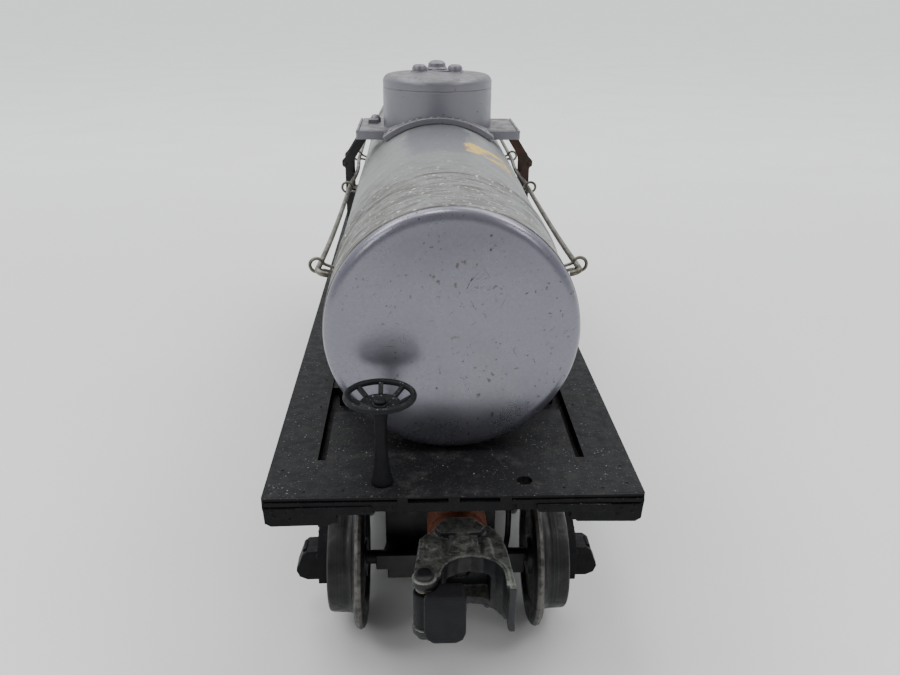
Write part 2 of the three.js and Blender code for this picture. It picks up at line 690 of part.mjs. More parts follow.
function coil() {
  const start = FACE + 15.5;
  const profile = [[1.9, 0], [5, 0], [5, 11], [1.9, 11], [1.9, 0]];
  return turned(profile, "y", [SHANK_X, start, SHANK_Z], 24);
}

function plunger() {
  const profile = [[0, 8.6], [1.2, 8.6], [1.2, 24.6], [0, 24.6]];
  return turned(profile, "y", [SHANK_X, FACE, SHANK_Z], 12);
}

// ---- Contact shoe under the truck, its carrier and its lead

// A steel carrier that hooks round both axles, with a tall plate behind the outer one.
function shoeCarrier() {
  const lip = block(-12.4, 13.4, -19.5, -18.6, 10, 14.1);
  const step = block(-14, -10.4, -21, -17, 9, 11.2);
  const under = block(-10.4, 8.6, -19.5, -13.2, 9.4, 10.5);
  const plate = block(-10.8, 8.6, -14, -13.2, 9.4, 24);
  const corner = prism([[-11.4, 10.5], [-10.2, 10.5], [-10.2, 14.6]], "y", -14, -13.2);
  const bridge = block(-6, 6, -13.5, 16, 9.4, 10.2);
  const hook = join(block(-8, 8, 15, 19.5, 9.4, 10.5), block(-8, 8, 18.6, 19.5, 9.4, 13));
  const drawbarSpace = block(SHANK_X - 3.6, SHANK_X + 3.6, -16, -12, 13.9, 15.7);
  return cut(join(cut(lip, step), under, plate, corner, bridge, hook), drawbarSpace);
}

function shoeInsulator() {
  return block(-5, 5, -9, 9, 8.1, 9.1);
}

function contactShoe() {
  const skate = prism(
    [
      [-12.4, 7.9],
      [-8, 3.4],
      [8, 3.4],
      [12.4, 7.9],
      [11.4, 7.9],
      [7.6, 4.3],
      [-7.6, 4.3],
      [-11.4, 7.9],
    ],
    "x",
    -3.4,
    3.4,
  );
  return join(skate, block(-2.4, 2.4, -5, 5, 4, 7.8));
}

function coilLead() {
  const route = [
    [6.9, -15.6, 23.2],
    [9.4, -15.3, 22.8],
    [10.7, -14.9, 20.6],
    [10.9, -14.6, 17],
    [10.8, -14.2, 13],
    [10.3, -12.6, 10],
    [8, -9.6, 8.7],
    [5.4, -7.6, 8.6],
  ];
  return wire(route, 0.5, 6, 20);
}

function truck(prefix) {
  const group = new THREE.Group();
  const add = (name, body, material) => part(`${prefix}_${name}`, body, material, group);
  add("bolster", bolster(), blackSteel);
  add("right_side_frame", sideFrame(), blackCasting);
  add("left_side_frame", sideFrame().rotate([0, 0, 180]), blackCasting);
  add("drawbar", drawbar(), blackSteel);
  add("pivot_stud", pivotStud(), brightSteel);
  add("stud_clip", studClip(), brightSteel);
  for (const [row, y] of [["outer", -HALF_BASE], ["inner", HALF_BASE]]) {
    add(`${row}_axle`, axle().translate([0, y, AXLE_HEIGHT]), blackSteel);
    const back = BACK_TO_BACK / 2;
    add(`${row}_right_wheel`, wheel().translate([back, y, AXLE_HEIGHT]), wheelIron);
    const left = wheel().rotate([0, 0, 180]).translate([-back, y, AXLE_HEIGHT]);
    add(`${row}_left_wheel`, left, wheelIron);
  }
  add("coupler_head", couplerHead(), couplerZinc);
  add("knuckle", knuckle(), couplerZinc);
  add("knuckle_pin", knucklePin(), blackSteel);
  add("knuckle_spring", knuckleSpring(), brightSteel);
  add("coil", coil(), coilCloth);
  add("plunger", plunger(), brightSteel);
  add("shoe_carrier", shoeCarrier(), blackSteel);
  add("shoe_insulator", shoeInsulator(), redFibre);
  add("contact_shoe", contactShoe(), brightSteel);
  add("coil_lead", coilLead(), blackLead);
  model.add(group);
  return group;
}

truck("front").position.set(0, -TRUCK_CENTRE, 0);
const rearTruck = truck("rear");
rearTruck.rotation.z = Math.PI;
rearTruck.position.set(0, TRUCK_CENTRE, 0);

export default model;
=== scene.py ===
"""Visual model of an O gauge model tank wagon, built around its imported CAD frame.

Lengths are millimetres until Piece.make turns them into metres. The frame's axes hold: +Y runs along
the wagon, +Z is up, and the brake wheel is at the -Y end. Each truck is drawn about its own pivot with
its coupler towards -Y, and the rear one is given a half turn.
"""
import math
import random

import bmesh
import bpy
from mathutils import Matrix, Vector, noise


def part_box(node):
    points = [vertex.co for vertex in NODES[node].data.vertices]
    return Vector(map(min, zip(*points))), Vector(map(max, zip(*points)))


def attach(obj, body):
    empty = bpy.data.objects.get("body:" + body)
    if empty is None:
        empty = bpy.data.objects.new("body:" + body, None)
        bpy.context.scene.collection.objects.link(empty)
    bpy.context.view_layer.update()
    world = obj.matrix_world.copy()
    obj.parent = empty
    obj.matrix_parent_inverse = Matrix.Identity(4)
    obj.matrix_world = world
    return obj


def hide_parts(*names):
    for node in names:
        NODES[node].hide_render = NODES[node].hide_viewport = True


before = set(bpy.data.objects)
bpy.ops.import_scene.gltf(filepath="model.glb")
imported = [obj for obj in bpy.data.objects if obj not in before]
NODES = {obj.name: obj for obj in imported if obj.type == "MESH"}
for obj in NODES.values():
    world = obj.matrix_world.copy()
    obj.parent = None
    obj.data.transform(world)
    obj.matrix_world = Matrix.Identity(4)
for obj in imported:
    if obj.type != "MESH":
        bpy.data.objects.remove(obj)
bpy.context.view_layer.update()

MM = 0.001


# ---- Sizes, read from the frame

def node_box(node):
    """A node's lowest and highest corners, in millimetres."""
    low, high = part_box(node)
    return low / MM, high / MM


def middle(node):
    low, high = node_box(node)
    return (low + high) / 2


SHELL_LOW, SHELL_HIGH = node_box("tank_shell")
FRAME_LOW, FRAME_HIGH = node_box("frame")
TANK_HEIGHT = middle("tank_shell").z
HALF_TANK = SHELL_HIGH.y
TANK_RADIUS = SHELL_HIGH.x - 0.25
DECK_TOP = 40.2
HALF_WIDTH = FRAME_HIGH.x
DOME_RADIUS = 12.3
END = FRAME_HIGH.y - 0.5
TRUCK_CENTRE = middle("rear_pivot_stud").y
AXLE_HEIGHT = middle("front_outer_axle").z
HALF_BASE = middle("front_inner_axle").y + TRUCK_CENTRE
FACE = TRUCK_CENTRE - END
KNUCKLE_PIVOT = (middle("front_knuckle_pin").x, middle("front_knuckle_pin").y + TRUCK_CENTRE)


# ---- Geometry

AXES = {
    "x": lambda a, b, along: (along, a, b),
    "y": lambda a, b, along: (a, along, b),
    "z": lambda a, b, along: (a, b, along),
}


def arc(centre, radius, start, stop, steps):
    """Points on an arc, from start to stop degrees."""
    angles = [math.radians(start + (stop - start) * i / steps) for i in range(steps + 1)]
    return [(centre[0] + radius * math.cos(t), centre[1] + radius * math.sin(t)) for t in angles]


def rounded(points, radius, steps=4, closed=True):
    """A polyline whose corners are turned into short curves."""
    count = len(points)
    result = []
    for i, point in enumerate(points):
        here = Vector(point)
        if not closed and i in (0, count - 1):
            result.append(tuple(here))
            continue
        before = Vector(points[i - 1]) - here
        after = Vector(points[(i + 1) % count]) - here
        size = min(radius, before.length * 0.45, after.length * 0.45)
        start = here + before.normalized() * size
        stop = here + after.normalized() * size
        for k in range(steps + 1):
            t = k / steps
            result.append(tuple(start * (1 - t) ** 2 + here * 2 * t * (1 - t) + stop * t * t))
    return result


def spline(points, per_span=6, closed=False):
    """Points on a smooth curve through the given ones."""
    spots = [Vector(p) for p in points]
    count = len(spots)
    result = []
    for i in range(count if closed else count - 1):
        a = spots[i - 1] if closed or i else spots[0] * 2 - spots[1]
        b = spots[i]
        c = spots[(i + 1) % count]
        d = spots[(i + 2) % count] if closed or i + 2 < count else c * 2 - b
        for k in range(per_span):
            t = k / per_span
            result.append(
                0.5 * (b * 2 + (c - a) * t + (a * 2 - b * 5 + c * 4 - d) * t * t
                       + (b * 3 - a - c * 3 + d) * t ** 3)
            )
    if not closed:
        result.append(spots[-1])
    return result


class Piece:
    """Closed shells gathered in millimetres and then made into one object."""

    def __init__(self):
        self.verts = []
        self.faces = []

    def add(self, verts, faces):
        base = len(self.verts)
        self.verts += [Vector(v) for v in verts]
        self.faces += [[base + i for i in face] for face in faces]
        return self

    def lathe(self, profile, axis="z", centre=(0, 0, 0), segments=64, closed=False):
        """A profile of (radius, distance along the axis) turned about the axis."""
        place = AXES[axis]
        verts = []
        rings = []
        for radius, along in profile:
            if radius < 1e-6:
                rings.append([len(verts)] * segments)
                verts.append(Vector(place(0, 0, along)) + Vector(centre))
                continue
            rings.append(list(range(len(verts), len(verts) + segments)))
            for i in range(segments):
                turn = 2 * math.pi * i / segments
                spot = place(radius * math.cos(turn), radius * math.sin(turn), along)
                verts.append(Vector(spot) + Vector(centre))
        pairs = list(zip(rings, rings[1:] + rings[:1])) if closed else list(zip(rings, rings[1:]))
        faces = []
        for low, high in pairs:
            for i in range(segments):
                j = (i + 1) % segments
                face = list(dict.fromkeys([low[i], low[j], high[j], high[i]]))
                if len(face) > 2:
                    faces.append(face)
        return self.add(verts, faces)

    def prism(self, outline, axis, low, high):
        """An outline pushed along an axis; the outline is in the other two axes, in X, Y, Z order."""
        place = AXES[axis]
        count = len(outline)
        verts = [place(a, b, low) for a, b in outline] + [place(a, b, high) for a, b in outline]
        faces = [list(range(count)), list(range(2 * count - 1, count - 1, -1))]
        faces += [[i, (i + 1) % count, count + (i + 1) % count, count + i] for i in range(count)]
        return self.add(verts, faces)

    def box(self, x0, x1, y0, y1, z0, z1):
        return self.prism([(x0, y0), (x1, y0), (x1, y1), (x0, y1)], "z", z0, z1)

    def tube(self, path, radius, sides=10, closed=False):
        """A round wire along a path; radius is a number or a function of the share of the way."""
        spots = [Vector(p) for p in path]
        count = len(spots)
        tangents = []
        for i in range(count):
            ahead = spots[(i + 1) % count] if closed or i + 1 < count else spots[i]
            behind = spots[i - 1] if closed or i else spots[i]
            tangents.append((ahead - behind).normalized())
        up = tangents[0].orthogonal().normalized()
        verts = []
        for i, tangent in enumerate(tangents):
            up = (up - tangent * up.dot(tangent)).normalized()
            side = tangent.cross(up)
            size = radius(i / (count - 1)) if callable(radius) else radius
            for k in range(sides):
                turn = 2 * math.pi * k / sides
                verts.append(spots[i] + (up * math.cos(turn) + side * math.sin(turn)) * size)
        faces = []
        for i in range(count if closed else count - 1):
            low, high = i * sides, (i + 1) % count * sides
            for k in range(sides):
                j = (k + 1) % sides
                faces.append([low + k, low + j, high + j, high + k])
        if not closed:
            last = (count - 1) * sides
            faces += [list(range(sides)), list(range(last, last + sides))]
        return self.add(verts, faces)

    def ball(self, centre, radius, squash=1.0, steps=6, axis="z"):
        """A half ball standing on a surface, such as a rivet's head."""
        profile = [(radius * math.cos(t), radius * squash * math.sin(t))
                   for t in [math.pi / 2 * k / steps for k in range(steps)]]
        sign = -1 if axis.startswith("-") else 1
        profile = [(0, -0.2 * sign)] + [(radius, -0.2 * sign)] + [(r, a * sign) for r, a in profile]
        profile.append((0, radius * squash * sign))
        return self.lathe(profile, axis[-1], centre, 10)

    def cad(self, node, shift=(0, 0, 0)):
        """A CAD node's solid, with its flat faces made whole."""
        bm = bmesh.new()
        bm.from_mesh(NODES[node].data)
        bmesh.ops.remove_doubles(bm, verts=bm.verts, dist=2e-6)
        bmesh.ops.dissolve_limit(
            bm, angle_limit=math.radians(1.0), verts=bm.verts, edges=bm.edges
        )
        bm.verts.index_update()
        verts = [v.co / MM + Vector(shift) for v in bm.verts]
        faces = [[v.index for v in face.verts] for face in bm.faces]
        bm.free()
        return self.add(verts, faces)

    def moved(self, matrix):
        self.verts = [matrix @ v for v in self.verts]
        return self

    def make(self, name, body, material, replaces=(), bevel=0.0, smooth=35, steps=2):
        """One object from the gathered shells, riding on a body."""
        bm = bmesh.new()
        verts = [bm.verts.new(v * MM) for v in self.verts]
        for face in self.faces:
            try:
                bm.faces.new([verts[i] for i in face])
            except ValueError:
                continue
        bmesh.ops.recalc_face_normals(bm, faces=bm.faces)
        mesh = bpy.data.meshes.new(name)
        bm.to_mesh(mesh)
        bm.free()
        return finish_piece(mesh, name, body, material, replaces, bevel, smooth, steps)


def finish_piece(mesh, name, body, material, replaces, bevel=0.0, smooth=35, steps=2):
    mesh.materials.clear()
    mesh.materials.append(material)
    mesh.polygons.foreach_set("use_smooth", [True] * len(mesh.polygons))
    mesh.set_sharp_from_angle(angle=math.radians(smooth))
    piece = bpy.data.objects.new(name, mesh)
    bpy.context.scene.collection.objects.link(piece)
    if bevel:
        softening = piece.modifiers.new("edges", "BEVEL")
        softening.width = bevel * MM
        softening.segments = steps
        softening.limit_method = "ANGLE"
        softening.angle_limit = math.radians(28)
        softening.harden_normals = True
    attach(piece, body)
    if replaces:
        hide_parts(*replaces)
    return piece


def cast(piece, voxel, passes=4, strength=0.5):
    """Melts a piece's shells into one skin with softened edges, as in a casting."""
    remesh = piece.modifiers.new("skin", "REMESH")
    remesh.mode = "VOXEL"
    remesh.voxel_size = voxel * MM
    remesh.use_smooth_shade = True
    relax = piece.modifiers.new("relax", "SMOOTH")
    relax.iterations = passes
    relax.factor = strength
    bpy.context.view_layer.update()
    evaluated = piece.evaluated_get(bpy.context.evaluated_depsgraph_get())
    skin = bpy.data.meshes.new_from_object(evaluated)
    material = piece.data.materials[0]
    piece.modifiers.clear()
    piece.data = skin
    skin.materials.clear()
    skin.materials.append(material)
    skin.polygons.foreach_set("use_smooth", [True] * len(skin.polygons))
    return piece


# ---- Materials

class Finish:
    """A procedural material; its patterns are measured in millimetres on the object."""

    def __init__(self, name, color, roughness, metallic=0.0):
        self.material = bpy.data.materials.new(name)
        self.material.use_nodes = True
        self.tree = self.material.node_tree
        self.shader = self.tree.nodes["Principled BSDF"]
        self.shader.inputs["Metallic"].default_value = metallic
        self.shader.inputs["Roughness"].default_value = roughness
        self.shader.inputs["Base Color"].default_value = (*color, 1)
        self.material.diffuse_color = (*color, 1)
        place = self.tree.nodes.new("ShaderNodeTexCoord").outputs["Object"]
        self.spot = self.vector("SCALE", place, scale=1 / MM)
        self.color = color
        self.roughness = roughness
        self.metallic = metallic
        self.heights = []

    def set(self, socket, value):
        if isinstance(value, bpy.types.NodeSocket):
            self.tree.links.new(value, socket)
        elif isinstance(value, (tuple, list)) and len(value) == 3 and socket.type == "RGBA":
            socket.default_value = (*value, 1)
        else:
            socket.default_value = value

    def vector(self, operation, a, b=None, scale=None):
        made = self.tree.nodes.new("ShaderNodeVectorMath")
        made.operation = operation
        self.set(made.inputs[0], a)
        if b is not None:
            self.set(made.inputs[1], b)
        if scale is not None:
            self.set(made.inputs["Scale"], scale)
        return made.outputs["Value" if operation in ("LENGTH", "DOT_PRODUCT", "DISTANCE") else "Vector"]

    def math(self, operation, a, b=0.0, clamp=False):
        made = self.tree.nodes.new("ShaderNodeMath")
        made.operation = operation
        made.use_clamp = clamp
        self.set(made.inputs[0], a)
        self.set(made.inputs[1], b)
        return made.outputs[0]

    def axis(self, letter):
        split = self.tree.nodes.new("ShaderNodeSeparateXYZ")
        self.set(split.inputs[0], self.spot)
        return split.outputs[letter.upper()]

    def unrolled(self):
        """The tank's surface laid flat: millimetres round it from its right side, and along it."""
        height = self.math("SUBTRACT", self.axis("z"), TANK_HEIGHT)
        angle = self.math("ARCTAN2", height, self.axis("x"))
        flat = self.tree.nodes.new("ShaderNodeCombineXYZ")
        self.set(flat.inputs[0], self.math("MULTIPLY", angle, TANK_RADIUS))
        self.set(flat.inputs[1], self.axis("y"))
        return angle, flat.outputs[0]

    def facing(self, letter):
        """How far the surface faces along an axis of the object, from -1 to 1."""
        turned = self.tree.nodes.new("ShaderNodeTexCoord").outputs["Normal"]
        split = self.tree.nodes.new("ShaderNodeSeparateXYZ")
        self.set(split.inputs[0], turned)
        return split.outputs[letter.upper()]

    def noise(self, size, detail=4.0, rough=0.55, stretch=(1, 1, 1), shift=(0, 0, 0), spot=None):
        """Noise whose features are about size millimetres, longer along a stretched axis."""
        frame_of = self.tree.nodes.new("ShaderNodeMapping")
        self.set(frame_of.inputs["Vector"], spot or self.spot)
        frame_of.inputs["Scale"].default_value = [1 / (size * s) for s in stretch]
        frame_of.inputs["Location"].default_value = shift
        made = self.tree.nodes.new("ShaderNodeTexNoise")
        made.inputs["Scale"].default_value = 1.0
        made.inputs["Detail"].default_value = detail
        made.inputs["Roughness"].default_value = rough
        self.set(made.inputs["Vector"], frame_of.outputs[0])
        return made.outputs["Fac"]

    def cells(self, size, shift=(0, 0, 0)):
        """The distance to the nearest of many scattered points, in cell widths."""
        frame_of = self.tree.nodes.new("ShaderNodeMapping")
        self.set(frame_of.inputs["Vector"], self.spot)
        frame_of.inputs["Scale"].default_value = [1 / size] * 3
        frame_of.inputs["Location"].default_value = shift
        made = self.tree.nodes.new("ShaderNodeTexVoronoi")
        made.inputs["Scale"].default_value = 1.0
        self.set(made.inputs["Vector"], frame_of.outputs[0])
        return made.outputs["Distance"]

    def between(self, value, low, high, out_low=0.0, out_high=1.0):
        """A smooth step from out_low to out_high as value goes from low to high."""
        made = self.tree.nodes.new("ShaderNodeMapRange")
        made.interpolation_type = "SMOOTHSTEP"
        self.set(made.inputs["Value"], value)
        made.inputs["From Min"].default_value = low
        made.inputs["From Max"].default_value = high
        made.inputs["To Min"].default_value = out_low
        made.inputs["To Max"].default_value = out_high
        return made.outputs["Result"]

    def mix(self, share, a, b):
        made = self.tree.nodes.new("ShaderNodeMix")
        made.data_type = "RGBA"
        self.set(made.inputs["Factor"], share)
        self.set(made.inputs["A"], a)
        self.set(made.inputs["B"], b)
        return made.outputs["Result"]

    def both(self, a, b):
        return self.math("MULTIPLY", a, b)

    def either(self, a, b):
        return self.math("MAXIMUM", a, b)

    def stain(self, share, color):
        """Blends a colour over what the surface has so far."""
        self.color = self.mix(share, self.color, color)

    def rough(self, share, value):
        """Takes the roughness towards a value."""
        start = self.roughness
        gap = self.math("SUBTRACT", value, start)
        self.roughness = self.math("ADD", start, self.math("MULTIPLY", share, gap))

    def dull(self, share):
        """Dirt over metal: less of it shines through."""
        self.metallic = self.math("MULTIPLY", self.metallic, self.math("SUBTRACT", 1.0, share))

    def bump(self, height, distance):
        """Adds relief: height from 0 to 1 over a distance in millimetres."""
        made = self.tree.nodes.new("ShaderNodeBump")
        made.inputs["Strength"].default_value = 1.0
        made.inputs["Distance"].default_value = distance * MM
        self.set(made.inputs["Height"], height)
        if self.heights:
            self.set(made.inputs["Normal"], self.heights[-1])
        self.heights.append(made.outputs["Normal"])

    def blot(self, centre, size, ragged=0.8):
        """A ragged spot round a point seen along Y, about size millimetres across."""
        face_on = self.vector("MULTIPLY", self.spot, (1.0, 0.0, 1.0))
        away = self.vector("DISTANCE", face_on, tuple(centre))
        wander = self.math("MULTIPLY", self.math("SUBTRACT", self.noise(size * 0.7, 4.0), 0.5), ragged * size * 1.6)
        return self.between(self.math("ADD", away, wander), size * 0.55, size * 0.35)

    def lines(self, size, width, stretch, shift=(0, 0, 0), turn=(0, 0, 0)):
        """Thin broken lines, such as scratches, along the stretched axis."""
        turned = self.tree.nodes.new("ShaderNodeVectorRotate")
        turned.rotation_type = "EULER_XYZ"
        self.set(turned.inputs["Vector"], self.spot)
        turned.inputs["Rotation"].default_value = [math.radians(t) for t in turn]
        field = self.noise(size, 1.0, 0.4, stretch, shift, turned.outputs[0])
        near = self.math("ABSOLUTE", self.math("SUBTRACT", field, 0.5))
        return self.between(near, width, 0.0)

    def mark(self, start, stop, width):
        """A single scratch between two points, seen along Y, in millimetres."""
        run = Vector(stop) - Vector(start)
        face_on = self.vector("MULTIPLY", self.spot, (1.0, 0.0, 1.0))
        from_start = self.vector("SUBTRACT", face_on, tuple(start))
        along = self.vector("DOT_PRODUCT", from_start, tuple(run / run.length_squared))
        held = self.math("MINIMUM", self.math("MAXIMUM", along, 0.0), 1.0)
        nearest = self.vector("SCALE", tuple(run), scale=held)
        wobble = self.math("MULTIPLY", self.math("SUBTRACT", self.noise(0.6, 3.0), 0.5), width * 1.5)
        distance = self.vector("DISTANCE", from_start, nearest)
        from_middle = self.math("ABSOLUTE", self.math("SUBTRACT", held, 0.5))
        taper = self.math("MULTIPLY", self.math("POWER", from_middle, 2.0), width * 2.0)
        off_line = self.math("ADD", self.math("SUBTRACT", distance, wobble), taper)
        return self.between(off_line, width * 0.6, 0.0)

    def done(self):
        if isinstance(self.color, bpy.types.NodeSocket):
            self.set(self.shader.inputs["Base Color"], self.color)
        if isinstance(self.roughness, bpy.types.NodeSocket):
            self.set(self.shader.inputs["Roughness"], self.roughness)
        if isinstance(self.metallic, bpy.types.NodeSocket):
            self.set(self.shader.inputs["Metallic"], self.metallic)
        if self.heights:
            self.set(self.shader.inputs["Normal"], self.heights[-1])
        return self.material


RUST = (0.13, 0.055, 0.02)
GRIME = (0.06, 0.055, 0.045)


def speckle(finish, size, share, color, shift=(0, 0, 0), soft=0.05):
    """Small scattered spots where a slow noise lets them be."""
    spots = finish.between(finish.cells(size, shift), 0.16, 0.16 - soft)
    allowed = finish.between(finish.noise(size * 6, 2.0, shift=(3.1, 1.7, 0.4)), share, share + 0.06)
    finish.stain(finish.both(spots, allowed), color)
    return spots


END_MARK_SEED = 11
END_SCRATCHES = 16
END_DOTS = 10
SCRATCH_REACH = 13.0  # from the end's middle
DOT_REACH = 16.0


def disc_point(draw, reach):
    """A seeded point, as (x, z), somewhere on the round end of the tank."""
    turn = draw.uniform(0, 2 * math.pi)
    out = reach * math.sqrt(draw.random())
    return out * math.cos(turn), TANK_HEIGHT + out * math.sin(turn)


def silver_end():
    """The lavender silver of the tank's pressed ends, scratched and lightly spotted with rust."""
    f = Finish("silver end", (0.2, 0.196, 0.236), 0.27, 0.84)
    f.stain(f.between(f.noise(16, 3.0), 0.35, 0.75, 0.0, 0.35), (0.19, 0.19, 0.2))
    f.stain(f.between(f.noise(0.5, 3.0), 0.3, 0.8, 0.0, 0.12), (0.36, 0.36, 0.41))
    f.rough(f.between(f.noise(5, 4.0), 0.35, 0.75, 0.0, 0.4), 0.42)
    draw = random.Random(END_MARK_SEED)
    for _ in range(END_SCRATCHES):
        x, z = disc_point(draw, SCRATCH_REACH)
        slope = math.radians(draw.uniform(-70, 70))
        length = draw.uniform(0.8, 3.4)
        stop = (x + length * math.cos(slope), 0, z + length * math.sin(slope))
        line = f.mark((x, 0, z), stop, draw.uniform(0.09, 0.15))
        worn_line = f.both(line, f.between(f.noise(0.5, 3.0), 0.3, 0.5, 0.3, 1.0))
        f.stain(f.both(worn_line, draw.uniform(0.5, 0.95)), (0.022, 0.022, 0.026))
    for _ in range(END_DOTS):
        x, z = disc_point(draw, DOT_REACH)
        f.stain(f.both(f.blot((x, 0, z), draw.uniform(0.2, 0.4)), 0.8), (0.045, 0.045, 0.05))
    streaks = f.both(f.lines(4, 0.006, (1, 1, 0.2), (7, 0, 2), (0, 38, 0)),
                     f.between(f.noise(5, 2.0, shift=(5, 2, 9)), 0.56, 0.62))
    f.stain(f.both(streaks, 0.6), (0.09, 0.09, 0.1))
    specks = f.between(f.noise(0.7, 2.0, 0.5, shift=(4, 4, 1)), 0.66, 0.71)
    f.stain(f.both(specks, f.between(f.noise(9, 2.0), 0.42, 0.6, 0.25, 0.85)), (0.08, 0.08, 0.085))
    high = f.between(f.axis("z"), 62.0, 70.0)
    rusty = f.both(f.between(f.noise(1.5, 4.0, 0.65, shift=(3, 8, 6)), 0.645, 0.69), high)
    f.stain(f.both(rusty, 0.6), (0.13, 0.08, 0.04))
    f.rough(f.both(rusty, 1.0), 0.7)
    f.bump(f.noise(0.25, 3.0), 0.003)
    f.bump(f.noise(14, 2.0), 0.18)
    return f.done()


def silver_dome():
    """The same paint on the dome's casting, duller, with chips down to the metal."""
    f = Finish("silver dome", (0.2, 0.196, 0.225), 0.36, 0.6)
    f.stain(f.between(f.noise(7, 4.0), 0.35, 0.75, 0.0, 0.45), (0.19, 0.19, 0.2))
    upward = f.between(f.facing("z"), 0.4, 0.9)
    dusty = f.between(f.noise(2.2, 5.0, 0.65), 0.4, 0.68, 0, 0.75)
    f.stain(f.both(upward, dusty), (0.17, 0.16, 0.135))
    gritty = f.both(upward, f.between(f.noise(0.8, 4.0, shift=(1, 9, 2)), 0.58, 0.68))
    f.stain(f.both(gritty, 0.6), (0.06, 0.05, 0.04))
    high = f.between(f.axis("z"), 76.5, 78.0)
    chipped = f.between(f.noise(1.5, 5.0, 0.7, shift=(6, 2, 7)), 0.68, 0.7)
    f.stain(f.both(f.both(chipped, high), 0.9), (0.02, 0.02, 0.024))
    specks = f.between(f.noise(0.6, 2.0, shift=(8, 3, 1)), 0.7, 0.74)
    f.stain(f.both(specks, 0.6), (0.05, 0.05, 0.05))
    f.rough(f.between(f.noise(3, 4.0), 0.3, 0.7, 0.0, 0.6), 0.5)
    f.rough(f.both(upward, dusty), 0.8)
    f.bump(f.noise(0.35, 3.0), 0.01)
    f.bump(f.noise(1.6, 3.0), 0.04)
    return f.done()


def silver_sheet():
    """The tank's worn and stained sheet, with a faded yellow patch on its right shoulder."""
    f = Finish("silver sheet", (0.248, 0.253, 0.25), 0.4, 0.62)
    angle, flat = f.unrolled()
    f.stain(f.between(f.noise(14, 4.0, stretch=(1, 2, 1)), 0.38, 0.7, 0.0, 0.6), (0.22, 0.225, 0.235))
    from_end = f.math("SUBTRACT", HALF_TANK, f.math("ABSOLUTE", f.axis("y")))
    near_end = f.between(from_end, 44.0, 14.0, 0.25, 1.0)
    mottled = f.between(f.noise(2.6, 6.0, 0.68, (1.8, 1, 1), (2, 8, 1), flat), 0.46, 0.66)
    f.stain(f.both(f.both(mottled, near_end), 0.7), (0.15, 0.15, 0.125))
    streaks = f.between(f.noise(0.8, 5.0, 0.7, (6, 1, 1), (5, 1, 4), flat), 0.51, 0.62)
    dirt = f.both(f.both(streaks, near_end), 0.9)
    f.stain(dirt, (0.05, 0.045, 0.034))
    f.dull(dirt)
    worn = f.between(f.noise(3.4, 6.0, 0.72, (2.2, 0.8, 1), (9, 1, 3), flat), 0.5, 0.6)
    dirt = f.both(f.both(worn, f.between(from_end, 32.0, 14.0)), 0.8)
    f.stain(dirt, (0.055, 0.047, 0.034))
    f.dull(dirt)
    # The painted front of the dome's saddle has kept a smooth, bluer stretch clean.
    turn = f.math("ABSOLUTE", f.math("SUBTRACT", angle, math.radians(92)))
    frayed = f.math("MULTIPLY", f.math("SUBTRACT", f.noise(5, 5.0, 0.6, (1, 1, 1), (3, 3, 3), flat), 0.5), 0.5)
    across = f.between(f.math("ADD", turn, frayed), 0.36, 0.3)
    ahead = f.math("ABSOLUTE", f.math("ADD", f.axis("y"), 30.0))
    ragged = f.math("ADD", ahead, f.math("MULTIPLY", frayed, 22.0))
    clean = f.both(across, f.between(ragged, 17.0, 14.5))
    f.stain(f.both(clean, 0.85), (0.215, 0.218, 0.25))
    f.rough(f.between(f.noise(4, 5.0), 0.35, 0.7, 0.0, 0.8), 0.6)
    f.rough(clean, 0.36)
    patch(f, angle)
    ring = f.math("ABSOLUTE", f.math("SUBTRACT", from_end, 17.4))
    inner_ring = f.math("ABSOLUTE", f.math("SUBTRACT", from_end, 22.4))
    beside = f.between(f.math("ABSOLUTE", f.math("SUBTRACT", f.math("MINIMUM", ring, inner_ring), 0.7)), 0.35, 0.1)
    grimy = f.between(f.noise(3, 4.0, 0.6, (3, 1, 1), (1, 1, 7), flat), 0.4, 0.58)
    f.stain(f.both(f.both(beside, grimy), 0.75), (0.05, 0.046, 0.036))
    for size, shift, share in ((0.9, (6, 2, 3), 0.7), (0.5, (2, 6, 5), 0.72)):
        bright = f.between(f.noise(size, 1.0, 0.4, shift=shift), share, share + 0.02)
        f.stain(f.both(f.both(bright, near_end), 0.8), (0.75, 0.75, 0.72))
    flecks = f.between(f.noise(0.55, 3.0, 0.6, (1.6, 1, 1), (7, 2, 5), flat), 0.56, 0.62)
    thick = f.between(f.noise(5, 4.0, 0.65, shift=(1, 4, 8)), 0.4, 0.62, 0.15, 1.0)
    dirt = f.both(f.both(f.both(flecks, thick), near_end), 0.9)
    f.stain(dirt, (0.03, 0.025, 0.018))
    f.dull(dirt)
    left = f.both(f.between(angle, math.radians(98), math.radians(132)), f.between(from_end, 46.0, 20.0))
    smeared = f.between(f.noise(2.4, 6.0, 0.7, (2.4, 1, 1), (4, 4, 4), flat), 0.42, 0.62)
    dirt = f.both(f.both(left, smeared), 0.85)
    f.stain(dirt, (0.07, 0.062, 0.046))
    f.dull(dirt)
    f.rough(dirt, 0.8)
    edge = f.between(from_end, 0.35, 0.15)
    f.stain(f.both(f.both(edge, f.between(f.noise(5, 4.0, shift=(2, 2, 2)), 0.35, 0.5)), 0.85), (0.06, 0.05, 0.042))
    rusty = f.both(f.between(from_end, 1.2, 0.3), f.between(f.noise(3, 4.0, shift=(0, 4, 1)), 0.6, 0.66))
    f.stain(f.both(rusty, 0.5), RUST)
    f.bump(f.noise(0.4, 4.0), 0.012)
    f.bump(f.noise(9, 2.0, stretch=(1, 1.5, 1)), 0.3)
    return f.done()


